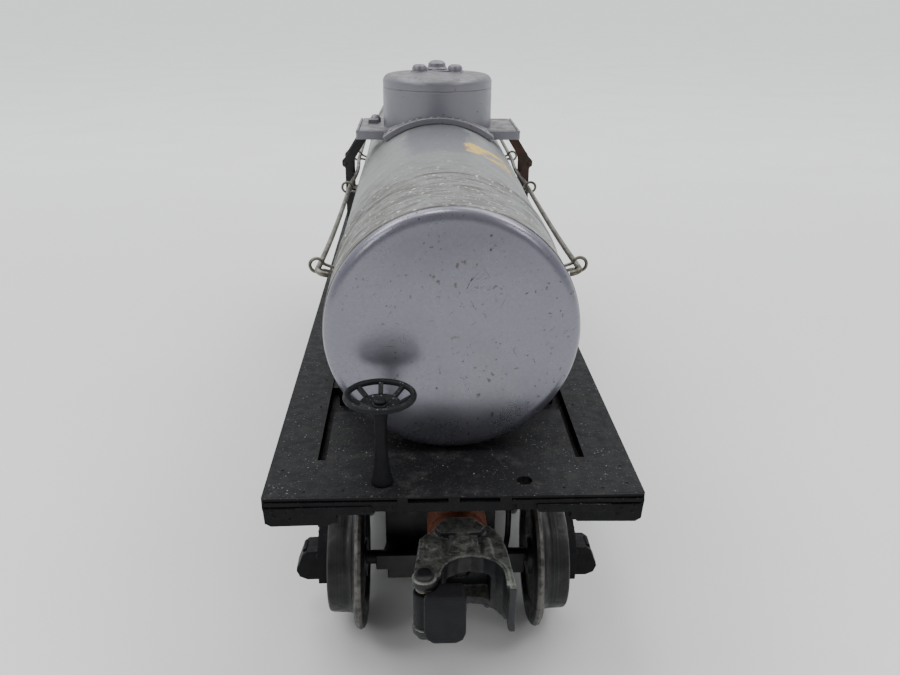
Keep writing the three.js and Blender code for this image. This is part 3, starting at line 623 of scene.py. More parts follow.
def patch(f, angle):
    """A plain worn yellow rectangle with an orange edge, in place of a maker's transfer."""
    around = f.math("ABSOLUTE", f.math("SUBTRACT", angle, math.radians(60.5)))
    along = f.math("ABSOLUTE", f.math("ADD", f.axis("y"), 37.0))
    inside = f.both(f.between(around, 0.295, 0.29), f.between(along, 6.1, 6.0))
    core = f.both(f.between(around, 0.275, 0.27), f.between(along, 5.6, 5.5))
    wear = f.math("ADD", f.noise(3.6, 6.0, 0.68, shift=(2.4, 6, 1)), f.math("MULTIPLY", angle, 0.16))
    kept = f.between(wear, 0.64, 0.68)
    f.stain(f.both(f.both(inside, kept), 0.75), (0.3, 0.13, 0.06))
    f.stain(f.both(f.both(core, kept), 0.95), (0.62, 0.44, 0.08))
    f.dull(f.both(inside, kept))
    f.rough(f.both(inside, kept), 0.55)


def black_cast(name="black casting", base=0.0045, dust_and_sheen=0.8):
    """Satin black paint over a slightly pebbled casting, lighter where it faces up: dust, and painted sheen in place of
    grazing reflections.
    """
    f = Finish(name, (base, base, base * 1.25), 0.46)
    f.shader.inputs["Specular IOR Level"].default_value = 0.12
    f.stain(f.between(f.noise(9, 5.0), 0.4, 0.75, 0.0, 0.6), (base * 1.7, base * 1.7, base * 1.9))
    # Painted sheen and dust: upward faces are lifted evenly and dusted, partly for real dust and partly standing in for
    # grazing reflections on the deck.
    upward = f.between(f.facing("z"), 0.6, 0.97, 0.05, 1.0)
    f.stain(upward, (0.0125, 0.0125, 0.0145))
    dusty = f.between(f.noise(3.5, 6.0, 0.7, shift=(4, 4, 4)), 0.48, 0.72, 0.0, dust_and_sheen)
    f.stain(f.both(upward, dusty), (0.042, 0.042, 0.04))
    specks = f.between(f.noise(0.3, 3.0, 0.6, shift=(7, 1, 2)), 0.62, 0.7, 0.0, dust_and_sheen)
    f.stain(f.both(upward, specks), (0.12, 0.12, 0.115))
    crumbs = f.both(f.between(f.cells(0.8), 0.17, 0.1), f.between(f.noise(5, 4.0, 0.6, shift=(2, 8, 3)), 0.44, 0.62))
    f.stain(f.both(f.both(upward, crumbs), dust_and_sheen), (0.22, 0.22, 0.21))
    f.rough(f.between(f.noise(1.5, 4.0), 0.35, 0.7, 0.0, 0.8), 0.66)
    f.rough(f.both(upward, dusty), 0.85)
    f.bump(f.noise(0.4, 4.0), 0.04)
    f.bump(f.noise(3, 3.0), 0.06)
    return f.done()


def coupler_cast():
    """Blackened die casting, lighter on its top: grey-green rubbed dust, and painted light for the light the top gets
    from the front.
    """
    f = Finish("coupler casting", (0.013, 0.013, 0.016), 0.4, 0.25)
    upward = f.between(f.facing("z"), 0.35, 0.85)
    rubbed_and_lit = f.between(f.noise(1.3, 6.0, 0.72), 0.36, 0.62, 0.25, 1.0)
    # Painted light and dust: the whole top is lifted to grey-green, for rubbed dust and for light falling on it from
    # the front.
    f.stain(f.both(f.both(upward, rubbed_and_lit), 0.9), (0.3, 0.315, 0.275))
    f.stain(f.both(upward, f.between(f.noise(0.4, 4.0, shift=(3, 3, 3)), 0.56, 0.7, 0.0, 0.6)), (0.42, 0.42, 0.39))
    f.stain(f.between(f.noise(0.35, 4.0, shift=(5, 3, 3)), 0.62, 0.75, 0.0, 0.3), (0.1, 0.1, 0.1))
    f.rough(f.between(f.noise(1.1, 4.0), 0.35, 0.7, 0.0, 0.8), 0.66)
    f.bump(f.noise(0.4, 5.0), 0.05)
    return f.done()


def wheel_metal(name, y, z):
    """Darkened wheel metal, with rings worn by rolling about an axle at y and z."""
    f = Finish(name, (0.008, 0.0078, 0.009), 0.34, 0.4)
    across = f.vector("MULTIPLY", f.spot, (0.0, 1.0, 1.0))
    radius = f.vector("DISTANCE", across, (0.0, y, z))
    rings = f.tree.nodes.new("ShaderNodeCombineXYZ")
    f.set(rings.inputs[0], f.axis("x"))
    f.set(rings.inputs[1], radius)
    streaks = f.noise(0.35, 3.0, 0.6, spot=rings.outputs[0])
    f.stain(f.between(streaks, 0.45, 0.75, 0.0, 0.3), (0.05, 0.05, 0.05))
    f.stain(f.between(f.noise(2, 5.0, 0.7), 0.5, 0.75, 0.0, 0.35), (0.036, 0.032, 0.03))
    worn = f.both(f.between(radius, 11.7, 12.0), f.between(f.noise(1.5, 3.0), 0.35, 0.6, 0.2, 0.8))
    f.stain(worn, (0.16, 0.15, 0.14))
    f.rough(f.between(f.noise(1.3, 4.0), 0.35, 0.7, 0.0, 0.8), 0.6)
    f.bump(streaks, 0.02)
    f.bump(f.noise(0.5, 4.0), 0.02)
    return f.done()


def black_steel():
    f = Finish("black steel", (0.016, 0.016, 0.018), 0.42, 0.3)
    f.stain(f.between(f.noise(3, 5.0), 0.45, 0.75, 0.0, 0.6), (0.04, 0.037, 0.033))
    f.rough(f.between(f.noise(1.5, 4.0), 0.35, 0.7, 0.0, 0.8), 0.65)
    f.bump(f.noise(0.8, 3.0), 0.02)
    return f.done()


def rusted_steel():
    """Black strip that has gone brown, as on the right-hand ladder."""
    f = Finish("rusted steel", (0.03, 0.016, 0.012), 0.6, 0.1)
    f.stain(f.between(f.noise(2, 6.0, 0.7), 0.4, 0.65), (0.075, 0.028, 0.015))
    f.stain(f.between(f.noise(4, 3.0, shift=(1, 5, 2)), 0.55, 0.7, 0.0, 0.8), (0.015, 0.014, 0.014))
    f.bump(f.noise(0.4, 5.0), 0.05)
    return f.done()


def bare_wire():
    f = Finish("bare wire", (0.16, 0.15, 0.125), 0.36, 0.85)
    f.stain(f.between(f.noise(1.5, 5.0), 0.45, 0.7, 0.0, 0.8), (0.06, 0.05, 0.035))
    f.stain(f.between(f.noise(4, 2.0, shift=(5, 5, 5)), 0.55, 0.65, 0.0, 0.5), (0.32, 0.31, 0.28))
    f.rough(f.between(f.noise(1, 4.0), 0.4, 0.7, 0.0, 0.8), 0.6)
    f.bump(f.noise(0.3, 3.0), 0.008)
    return f.done()


def bright_steel():
    f = Finish("bright steel", (0.45, 0.44, 0.42), 0.3, 0.95)
    f.stain(f.between(f.noise(2, 5.0), 0.45, 0.75, 0.0, 0.6), (0.22, 0.2, 0.17))
    f.rough(f.between(f.noise(1, 4.0), 0.4, 0.7, 0.0, 0.8), 0.5)
    f.bump(f.noise(0.3, 3.0), 0.006)
    return f.done()


def coil_wrap():
    """Orange insulating tape wound round the coil; its orange is darkened towards brown, partly the tape's own colour
    and partly painted shade.
    """
    # Painted shade: the base orange is kept a dark brown for the shade the tape sits in, as well as for its own colour.
    f = Finish("coil wrap", (0.15, 0.042, 0.017), 0.75)
    f.stain(f.between(f.noise(1.6, 5.0), 0.4, 0.7, 0.0, 0.7), (0.09, 0.028, 0.014))
    weave = f.both(f.noise(0.25, 2.0, stretch=(1, 4, 1)), f.noise(0.25, 2.0, stretch=(4, 1, 4), shift=(3, 3, 3)))
    f.stain(f.between(weave, 0.2, 0.35, 0.0, 0.35), (0.34, 0.09, 0.03))
    f.bump(weave, 0.05)
    return f.done()


def fibre():
    f = Finish("fibre", (0.13, 0.05, 0.03), 0.75)
    f.stain(f.between(f.noise(0.6, 5.0, stretch=(1, 5, 1)), 0.4, 0.7, 0.0, 0.6), (0.07, 0.03, 0.02))
    f.bump(f.noise(0.4, 4.0, stretch=(1, 5, 1)), 0.02)
    return f.done()


def insulation():
    f = Finish("insulation", (0.013, 0.013, 0.014), 0.55)
    f.stain(f.between(f.noise(1.2, 4.0), 0.5, 0.7, 0.0, 0.6), (0.045, 0.042, 0.038))
    f.bump(f.noise(0.3, 3.0), 0.015)
    return f.done()


SILVER_END = silver_end()
SILVER_DOME = silver_dome()
SILVER_SHEET = silver_sheet()
BLACK_CAST = black_cast()
BLACK_PLAIN = black_cast("black fittings", 0.007, 0.4)
GRITTY = black_cast("gritty black", 0.012, 0.9)
COUPLER = coupler_cast()
KNUCKLE = black_cast("knuckle casting", 0.012, 0.2)
BLACK_STEEL = black_steel()
RUSTED = rusted_steel()
WIRE = bare_wire()
BRIGHT = bright_steel()
COIL_WRAP = coil_wrap()
FIBRE = fibre()
INSULATION = insulation()


# ---- Camera, floor and light

CAMERA_SPOT = (-5.02, -199.94, 104.77)
CAMERA_YAW = math.radians(2.405)
CAMERA_PITCH = math.radians(22.34)
CAMERA_ROLL = math.radians(0.489)


def camera():
    data = bpy.data.cameras.new("camera")
    data.sensor_width = 36
    data.lens = 34.0
    data.clip_start = 0.005
    data.clip_end = 20
    right = Vector((math.cos(CAMERA_YAW), -math.sin(CAMERA_YAW), 0))
    level = Vector((math.sin(CAMERA_YAW), math.cos(CAMERA_YAW), 0))
    up = Vector((0, 0, 1))
    ahead = level * math.cos(CAMERA_PITCH) - up * math.sin(CAMERA_PITCH)
    top = level * math.sin(CAMERA_PITCH) + up * math.cos(CAMERA_PITCH)
    rolled = right * math.cos(CAMERA_ROLL) + top * math.sin(CAMERA_ROLL)
    top = top * math.cos(CAMERA_ROLL) - right * math.sin(CAMERA_ROLL)
    turn = Matrix((rolled, top, -ahead)).transposed().to_4x4()
    holder = bpy.data.objects.new("camera", data)
    holder.matrix_world = Matrix.Translation(Vector(CAMERA_SPOT) * MM) @ turn
    bpy.context.scene.collection.objects.link(holder)
    bpy.context.scene.camera = holder


def floor():
    """A wide pale sheet, painted brighter beyond the wagon as painted light where the lamps reach less."""
    f = Finish("floor", (0.76, 0.77, 0.75), 0.6)
    # Painted light: the floor beyond the wagon is made paler to make up for the lamps' light falling off.
    f.stain(f.between(f.axis("y"), 60.0, 420.0), (0.93, 0.94, 0.94))
    f.stain(f.between(f.noise(60, 3.0), 0.4, 0.7, 0.0, 0.25), (0.78, 0.79, 0.76))
    mesh = bpy.data.meshes.new("floor")
    corners = [(-8, -3), (8, -3), (8, 12), (-8, 12)]
    mesh.from_pydata([(x, y, -0.0001) for x, y in corners], [], [(0, 1, 2, 3)])
    mesh.materials.append(f.done())
    sheet = bpy.data.objects.new("floor", mesh)
    bpy.context.scene.collection.objects.link(sheet)


def lamp(name, spot, aim, size, power, color=(1, 1, 1)):
    data = bpy.data.lights.new(name, "AREA")
    data.shape = "RECTANGLE"
    data.size, data.size_y = size
    data.energy = power
    data.color = color
    holder = bpy.data.objects.new(name, data)
    holder.location = spot
    holder.rotation_euler = (Vector(aim) - Vector(spot)).to_track_quat("-Z", "Y").to_euler()
    bpy.context.scene.collection.objects.link(holder)


def lights():
    world = bpy.data.worlds.new("world")
    world.use_nodes = True
    tree = world.node_tree
    split = tree.nodes.new("ShaderNodeSeparateXYZ")
    tree.links.new(tree.nodes.new("ShaderNodeTexCoord").outputs["Generated"], split.inputs[0])
    paler = tree.nodes.new("ShaderNodeMapRange")
    paler.interpolation_type = "SMOOTHSTEP"
    tree.links.new(split.outputs["Y"], paler.inputs["Value"])
    for name, value in (("From Min", -0.9), ("From Max", 0.8), ("To Min", 0.37), ("To Max", 1.12)):
        paler.inputs[name].default_value = value
    tree.links.new(paler.outputs["Result"], tree.nodes["Background"].inputs["Strength"])
    tree.nodes["Background"].inputs["Color"].default_value = (0.96, 0.98, 1.0, 1)
    bpy.context.scene.world = world
    lamp("front left", (-0.68, -0.72, 0.6), (0, -0.08, 0.06), (0.2, 0.3), 1.1)
    lamp("front right", (0.66, -0.7, 0.62), (0, -0.08, 0.06), (0.18, 0.28), 0.9)
    lamp("ceiling", (-0.16, -0.3, 1.15), (0, -0.05, 0.08), (0.26, 0.3), 2.2)
    lamp("left", (-0.6, -0.16, 0.84), (0, 0, 0.05), (0.3, 0.42), 2.4)
    lamp("right", (0.6, -0.15, 0.86), (0, 0, 0.05), (0.26, 0.34), 2.0)
    for name, side in (("high left", -1), ("high right", 1)):
        data = bpy.data.lights.new(name, "SUN")
        data.energy = 0.8
        data.angle = math.radians(38)
        holder = bpy.data.objects.new(name, data)
        holder.rotation_euler = (math.radians(-24), math.radians(side * 24), 0)
        bpy.context.scene.collection.objects.link(holder)


camera()
floor()
lights()


# ---- Tank

def drift(spot, size, amount, seed=0.0):
    """A slow smooth wander for a point, in millimetres."""
    return noise.noise(Vector(spot) / size + Vector((seed, seed * 1.7, seed * 0.3))) * amount


def tank_shell():
    """The rolled sheet: two pressed beads near each end, a turned-in edge and shallow dents."""
    outer = TANK_RADIUS
    stations = [-HALF_TANK, -HALF_TANK + 0.15]
    y = -HALF_TANK + 1.0
    while y < HALF_TANK - 0.5:
        stations.append(y)
        y += 0.5 if abs(abs(y) - 67.5) < 5 else 2.0
    stations += [HALF_TANK - 0.15, HALF_TANK]
    beads = (64.6, 69.6)

    def radius(along):
        rise = sum(0.3 * math.exp(-((abs(along) - bead) / 0.55) ** 2) for bead in beads)
        return outer + rise - (0.1 if abs(along) == HALF_TANK else 0)

    profile = [(radius(y), y) for y in stations]
    profile += [(outer - 0.5, HALF_TANK), (outer - 0.55, HALF_TANK - 4)]
    profile += [(outer - 0.55, -HALF_TANK + 4), (outer - 0.5, -HALF_TANK)]
    piece = Piece().lathe(profile, "y", (0, 0, TANK_HEIGHT), 144, closed=True)
    for vert in piece.verts:
        away = Vector((vert.x, 0, vert.z - TANK_HEIGHT))
        dent = drift(vert, 17, 0.16) + drift(vert, 6, 0.05, 4)
        vert += away.normalized() * (dent - 0.05)
    piece.make("tank_sheet", "wagon", SILVER_SHEET, ["tank_shell"], smooth=50)
    seam = [(-0.5, HALF_TANK - 0.6), (-0.5, -HALF_TANK + 0.6)]
    strip = Piece()
    low = TANK_HEIGHT - outer
    strip.box(-1.6, 1.6, seam[1][1], seam[0][1], low - 0.12, low + 0.25)
    strip.make("tank_seam", "wagon", SILVER_SHEET, bevel=0.1)


def tank_end(node, toward):
    """A pressed pan: an almost flat face with a rolled edge that stands just proud of the sheet."""
    outer = TANK_RADIUS - 0.62
    rim, proud = 1.9, 1.45
    flat = TANK_RADIUS - 0.16 - rim
    face = -proud - 0.95
    edge = [(0, face)] + [(r, face + 0.95 * (r / flat) ** 2) for r in (3, 6, 9, 11, 13, 15, flat)]
    edge += [(flat + rim * math.sin(t), -proud * math.cos(t)) for t in [math.pi / 2 * k / 9 for k in range(1, 10)]]
    edge += [(outer, 0.02), (outer, 4.5), (outer - 0.5, 4.5), (outer - 0.5, 0.6), (outer - 2.2, -0.9), (0, -1.6)]
    piece = Piece().lathe(edge, "y", (0, 0, 0), 128)
    for vert in piece.verts:
        near_rim = 1 - min(1, math.hypot(vert.x, vert.z) / outer)
        vert.y += drift(vert, 11, 0.35 * near_rim, 2)
    turn = Matrix.Rotation(math.pi if toward > 0 else 0, 4, "Z")
    spot = Matrix.Translation((0, toward * HALF_TANK, TANK_HEIGHT))
    name = "front_end_pressing" if toward < 0 else "rear_end_pressing"
    piece.moved(spot @ turn).make(name, "wagon", SILVER_END, [node], smooth=50)


def dome():
    """The dome casting: dome, saddle with rivets, side platforms and the fittings on top."""
    low, high = node_box("dome_and_platform")
    half_width = high.x
    shoulder = 85.3
    body = Piece()
    wall = [(0, 74.0), (DOME_RADIUS, 74.0), (DOME_RADIUS, shoulder - 1.3), (DOME_RADIUS - 0.1, shoulder - 1.2),
            (DOME_RADIUS - 0.1, shoulder - 1.1), (DOME_RADIUS, shoulder - 1.0), (DOME_RADIUS, shoulder)]
    wall += [(DOME_RADIUS - 1.7 + 1.7 * math.cos(t), shoulder + 1.65 * math.sin(t))
             for t in [math.pi / 2 * k / 10 for k in range(1, 11)]]
    wall += [(DOME_RADIUS - 5, shoulder + 1.85), (DOME_RADIUS - 8, shoulder + 2.05), (0, 87.6)]
    body.lathe(wall, "z", (0, 0, 0), 96)
    body.make("dome_body", "wagon", SILVER_DOME, ["dome_and_platform"], smooth=40)
    saddle = Piece()
    inner, outer = TANK_RADIUS - 0.12, TANK_RADIUS + 1.3
    reach = 38.0
    bend = arc((0, TANK_HEIGHT), outer, 90 - reach, 90 + reach, 48)
    bend += arc((0, TANK_HEIGHT), inner, 90 + reach, 90 - reach, 48)
    saddle.prism(bend, "y", -13, 13)
    saddle.make("dome_saddle", "wagon", SILVER_DOME, bevel=0.3)
    rivets = Piece()
    for y in (-12.1, 12.1):
        for k in range(-8, 9):
            turn = math.radians(90 + k * 4.4)
            spot = (outer * math.cos(turn), y, TANK_HEIGHT + outer * math.sin(turn))
            rivets.ball(spot, 0.42, 0.75 if k > 2 else 0.4)
    rivets.make("saddle_rivets", "wagon", SILVER_DOME)
    platforms(half_width)
    dome_fittings()


def platforms(half_width):
    """A thick-edged cast step on each side of the dome, with a groove along its front edge."""
    bottom, top = 73.8, 75.7
    for side in (-1, 1):
        step = Piece()
        inner_x = 9.6
        outline = rounded([(side * inner_x, -9.95), (side * half_width, -9.95),
                           (side * half_width, 9.95), (side * inner_x, 9.95)], 0.5, 3)
        step.prism(outline, "z", bottom, top - 0.25)
        ribs = [(-9.95, -9.3), (-8.6, 8.6), (9.3, 9.95)]
        for y0, y1 in ribs:
            step.box(*sorted((side * inner_x, side * (half_width - 0.7))), y0, y1, top - 0.4, top)
        step.box(*sorted((side * (half_width - 0.55), side * half_width)), -9.95, 9.95, top - 0.4, top + 0.05)
        if side < 0:
            step.lathe([(0, top - 0.3), (1.25, top - 0.3), (1.2, top + 0.9), (0.8, top + 1.5), (0, top + 1.7)],
                       "z", (-14.3, 4.5, 0), 20)
            step.box(-15.9, -13.6, 1.2, 4.4, top - 0.3, top + 0.9)
        name = "left_platform" if side < 0 else "right_platform"
        step.make(name, "wagon", SILVER_DOME, bevel=0.25)


def dome_fittings():
    """Two round valve caps at the front and a larger vent behind them."""
    fittings = Piece()
    for x in (-4, 4):
        fittings.lathe([(0, 86.4), (2.0, 86.4), (1.95, 87.3), (1.7, 87.45), (1.68, 88.2), (1.45, 88.65), (1.0, 88.9),
                        (0, 89.0)], "z", (x, 0, 0), 32)
        for k in range(6):
            turn = math.radians(60 * k + 12)
            fittings.ball((x + 1.75 * math.cos(turn), 1.75 * math.sin(turn), 87.35), 0.25, 1.0)
    fittings.lathe([(0, 86.4), (2.5, 86.4), (2.4, 87.8), (2.1, 88.1), (1.95, 88.9), (1.4, 89.35), (0.9, 89.5),
                    (0, 89.55)], "z", (0, 4, 0), 32)
    for k in range(9):
        turn = math.radians(40 * k + 5)
        fittings.ball((2.0 * math.cos(turn), 4 + 2.0 * math.sin(turn), 87.75), 0.3, 1.0)
    for k in range(9):
        turn = math.radians(200 + 17.5 * k)
        fittings.ball((1.2 + 2.2 * math.cos(turn), 1.2 + 2.6 * math.sin(turn), 87.5), 0.36, 1.0)
    fittings.make("dome_fittings", "wagon", SILVER_DOME, bevel=0.12)


tank_shell()
tank_end("front_tank_end", -1)
tank_end("rear_tank_end", 1)
dome()


# ---- Handrails and ladders

POST_ANGLE = math.radians(17.1)
EYE_RADIAL = 21.2
MIDDLE_EYE_RADIAL = 20.6
POST_Y = (-74.5, -18.6, 18.6, 74.5)
RAIL_END = 75.4
LONG_BOW = 0.8
LADDER_BOW = 0.6


def rail_point(side, radial, tangent, y):
    x = radial * math.cos(POST_ANGLE) - tangent * math.sin(POST_ANGLE)
    z = radial * math.sin(POST_ANGLE) + tangent * math.cos(POST_ANGLE)
    return Vector((side * x, y, TANK_HEIGHT + z))


def rail_bow(y):
    """How far the rail has bowed in towards the tank at y, as on the CAD's rail."""
    at = abs(y)
    inner, outer = POST_Y[2:]
    long = LONG_BOW * (1 - min(1, at / outer) ** 4)
    if at > inner:
        return long
    return long + LADDER_BOW * math.cos(math.pi / 2 * at / inner) ** 2


def split_pin(piece, side, y):
    """A wire bent into a round eye whose two legs spread as they go in through the sheet."""
    eye = EYE_RADIAL if abs(y) == POST_Y[3] else MIDDLE_EYE_RADIAL
    loop = arc((eye, 0), 1.08, 150, -150, 18)
    path = [(17.4, 0.3), (19.0, 0.42), (eye - 1.3, 0.46)] + loop + [(eye - 1.3, -0.46), (19.0, -0.42), (17.4, -0.3)]
    points = [rail_point(side, r, t, y) for r, t in path]
    piece.tube(points, 0.27, 8)


def handrail(side, node):
    """A springy wire that lies in the eyes, bowed a little, with both ends hooked in."""
    eye = rail_point(side, EYE_RADIAL, 0, 0)
    along = abs(eye.x) - 0.2
    height = eye.z - 0.4
    steps = 60
    path = []
    for k in range(steps + 1):
        y = -RAIL_END + 2 * RAIL_END * k / steps
        path.append((side * (along - rail_bow(y)), y, height))
    hook = [(0.2, 0.9, -0.1), (0.8, 1.2, -0.3), (1.6, 1.1, -0.5)]
    front = [(side * (along - a), -RAIL_END - b, height + c) for a, b, c in hook]
    rear = [(side * (along - a), RAIL_END + b, height + c) for a, b, c in hook]
    piece = Piece().tube(spline(front[::-1] + path + rear, 3), 0.45, 10)
    for y in POST_Y:
        split_pin(piece, side, y)
    name = "left_rail_wire" if side < 0 else "right_rail_wire"
    piece.make(name, "wagon", WIRE, [node], smooth=60)


def ladder(side, node, material):
    """Two cranked strips with round rungs, hooked under the platform."""
    half = 4.4
    inner, outer = 19.5, 21.1
    top = node_box(node)[1].z
    strip = rounded([
        (15.9, top), (inner - 0.2, 68.0), (inner, 67.0), (inner, 40.7), (23.2, 40.7), (23.2, 41.3),
        (outer, 41.3), (outer, 66.7), (outer + 0.65, 67.0), (outer + 0.7, 68.3), (outer, 68.9), (18.2, top),
    ], 0.4, 3)
    outline = [(side * x, z) for x, z in strip]
    piece = Piece()
    for y in (-half, half):
        piece.prism(outline, "y", y - 0.4, y + 0.4)
        piece.ball((side * (outer - 0.1), y - 0.4, 67.6), 0.42, 0.6, axis="-y")
    for k in range(5):
        z = 45.4 + 4.6 * k
        piece.tube([(side * (inner + 0.8), -half, z), (side * (inner + 0.8), half, z)], 0.42, 10)
    piece.tube([(side * 17.2, -half, top - 0.4), (side * 17.2, half, top - 0.4)], 0.4, 10)
    name = "left_ladder_strips" if side < 0 else "right_ladder_strips"
    piece.make(name, "wagon", material, [node], bevel=0.12)


handrail(-1, "left_handrail")
handrail(1, "right_handrail")
ladder(-1, "left_ladder", BLACK_STEEL)
ladder(1, "right_ladder", RUSTED)


# ---- Brake stand and wheel

STAND = middle("brake_stand")


def brake_stand():
    profile = rounded([
        (0, 38.5), (0.9, 38.5), (0.9, 40.2), (1.6, 40.2), (1.55, 40.7), (1.3, 41.6), (1.02, 43.5), (0.84, 47),
        (0.92, 50.2), (1.1, 51.1), (1.1, 51.65), (0.55, 51.7), (0.55, 52.7), (0.92, 52.8), (0.88, 53.1), (0.6, 53.28),
        (0, 53.3),
    ], 0.25, 3, closed=False)
    Piece().lathe(profile, "z", (STAND.x, STAND.y, 0), 40).make(
        "brake_post", "wagon", BLACK_PLAIN, ["brake_stand"], smooth=50)


def brake_wheel():
    """A dished wheel: thick rounded rim, spokes that slope down to a bowl, and a low hub."""
    piece = Piece()
    rim = arc((4.58, 53.78), 0.44, 0, 360, 12)[:-1]
    piece.lathe([(r, z) for r, z in rim], "z", (0, 0, 0), 96, closed=True)
    bowl = rounded([(0.66, 51.95), (2.1, 52.0), (2.85, 52.5), (2.8, 52.85), (2.05, 52.45), (0.66, 52.4)], 0.12, 2)
    piece.lathe(bowl, "z", (0, 0, 0), 64, closed=True)
    hub = rounded([(0.62, 51.95), (1.1, 51.95), (1.1, 52.6), (0.95, 52.7), (0.62, 52.7)], 0.08, 2)
    piece.lathe(hub, "z", (0, 0, 0), 32, closed=True)
    for k in range(8):
        spoke = Piece().prism([(2.6, 52.35), (4.5, 53.45), (4.5, 54.05), (2.6, 52.85)], "y", -0.34, 0.34)
        spoke.moved(Matrix.Rotation(math.radians(45 * k), 4, "Z"))
        piece.add(spoke.verts, spoke.faces)
    piece.moved(Matrix.Translation((STAND.x, STAND.y, 0)))
    piece.make("brake_handwheel", "brake_wheel", GRITTY, ["brake_wheel"], bevel=0.12)


brake_stand()
brake_wheel()


# ---- Frame

def end_details(toward):
    """Ledges, plates, rivets and the slotted middle panel of an end beam, for the -Y end or the +Y end."""
    front = -END
    trim = Piece()
    for side in (-1, 1):
        for z0, z1, proud, x0, x1 in ((39.8, 40.18, 0.42, 7.9, 26.3), (38.95, 39.5, 0.5, 7.9, 26.4)):
            trim.box(*sorted((side * x0, side * x1)), front - proud, front + 0.6, z0, z1)
        plate = rounded([(side * 11.6, 37.7), (side * 21.7, 37.55), (side * 21.9, 38.75), (side * 11.4, 38.85)], 0.2, 2)
        trim.prism(plate, "y", front - 0.75, front + 0.6)
        block = [(16.9, 36.2), (17.2, 35.9), (25.4, 35.75), (26.2, 36.3), (26.35, 38.6), (16.3, 38.6), (16.3, 36.6)]
        trim.prism([(side * x, z) for x, z in block], "y", front - 0.45, front + 1.0)
        trim.box(*sorted((side * 8.6, side * 9.4)), front - 0.35, front + 0.6, 37.9, 39.0)
        for x, z in ((23.4, 37.9), (24.9, 37.4), (22.8, 36.9), (25.2, 38.3), (12.6, 38.2), (20.8, 38.1)):
            trim.ball((side * x, front - (0.75 if x < 22 else 0.45), z), 0.26, 0.7, axis="-y")
        for x, y in ((24.6, 2.6), (24.6, 7.2), (20.9, 1.4), (15.5, 1.6), (6.2, 1.6)):
            trim.ball((side * x, front + y, DECK_TOP), 0.24, 0.5)
    turn = Matrix.Rotation(math.pi if toward > 0 else 0, 4, "Z")
    name = "front_beam_trim" if toward < 0 else "rear_beam_trim"
    trim.moved(turn).make(name, "wagon", BLACK_CAST, bevel=0.14)


def frame_casting():
    Piece().cad("frame").make("frame_casting", "wagon", BLACK_CAST, ["frame"], bevel=0.22)
    rivets = Piece()
    for side in (-1, 1):
        for k in range(31):
            y = -78 + 5.2 * k
            rivets.ball((side * HALF_WIDTH, y, 38.9), 0.3, 0.6, axis="x" if side > 0 else "-x")
            if k % 2:
                rivets.ball((side * (HALF_WIDTH - 5.4), y, DECK_TOP), 0.22, 0.5)
    rivets.make("frame_rivets", "wagon", BLACK_CAST)
    for toward in (-1, 1):
        end_details(toward)


frame_casting()


# ---- Hidden fasteners of the tank

def tank_fasteners():
    for name in ("front", "rear"):
        spot = middle(f"{name}_tank_screw")
        screw = Piece().lathe([(0, 34.6), (1.2, 34.7), (2.1, 35.0), (2.4, 35.5), (2.4, 36.2), (1.2, 36.2),
                               (1.2, 45), (0, 45)], "z", (spot.x, spot.y, 0), 32)
        screw.make(f"{name}_screw", "wagon", BRIGHT, [f"{name}_tank_screw"], smooth=40)
        Piece().cad(f"{name}_tank_nut").make(f"{name}_nut", "wagon", BRIGHT, [f"{name}_tank_nut"], bevel=0.15)
    Piece().cad("dome_nut").make("dome_stud_nut", "wagon", BRIGHT, ["dome_nut"], bevel=0.15)


tank_fasteners()


# ---- Trucks

class Truck:
    """Places pieces drawn about a truck's pivot, coupler towards -Y."""

    def __init__(self, name, toward):
        self.name = name
        turn = Matrix.Rotation(math.pi if toward > 0 else 0, 4, "Z")
        self.matrix = Matrix.Translation((0, toward * TRUCK_CENTRE, 0)) @ turn
        self.back = self.matrix.inverted()

    def make(self, piece, name, body, material, nodes, **looks):
        made = piece.moved(self.matrix)
        return made.make(f"{self.name}_{name}", f"{self.name}_{body}" if body else "wagon", material,
                         [f"{self.name}_{node}" for node in nodes], **looks)

    def cad(self, node):
        return Piece().cad(f"{self.name}_{node}").moved(self.back)


def wheel_profile():
    """Half section of a wheel from the back face outwards: coarse flange, coned tread, dished face."""
    flange = [(3.2, 0.0), (3.5, 0.7), (8.7, 0.7), (9.2, 0.0), (10.4, 0.0), (11.3, 0.12), (11.85, 0.45), (12.1, 0.95), (11.95, 1.45), (11.3, 1.85),
              (10.2, 2.1), (9.6, 2.25), (9.32, 2.6)]
    tread = [(9.22, 3.2), (9.12, 5.6), (9.0, 6.05), (8.75, 6.28), (7.6, 6.3), (7.3, 6.15), (7.15, 5.5)]
    face = [(7.0, 5.05), (3.1, 4.95), (2.75, 5.1), (2.6, 5.9), (2.45, 6.25), (1.28, 6.3)]
    return [(1.28, 0.0)] + flange + tread + face


def wheelset(truck, row, y):
    centre = truck.matrix @ Vector((0, y, AXLE_HEIGHT))
    metal = wheel_metal(f"{truck.name} {row} wheels", centre.y, centre.z)
    for side, name in ((1, "right"), (-1, "left")):
        profile = [(r, side * (14.0 + a)) for r, a in wheel_profile()]
        wheel = Piece().lathe(profile, "x", (0, y, AXLE_HEIGHT), 96, closed=True)
        truck.make(wheel, f"{row}_{name}_wheel_turning", f"{row}_wheelset", metal,
                   [f"{row}_{name}_wheel"], smooth=32)
    ends = [(0, 22.6), (0.6, 22.6), (0.95, 22.2), (0.95, 20.9), (1.2, 20.6)]
    profile = [(r, -a) for r, a in ends] + [(r, a) for r, a in ends[::-1]]
    axle = Piece().lathe(profile, "x", (0, y, AXLE_HEIGHT), 32)
    truck.make(axle, f"{row}_axle_rod", f"{row}_wheelset", BLACK_STEEL, [f"{row}_axle"], smooth=35)


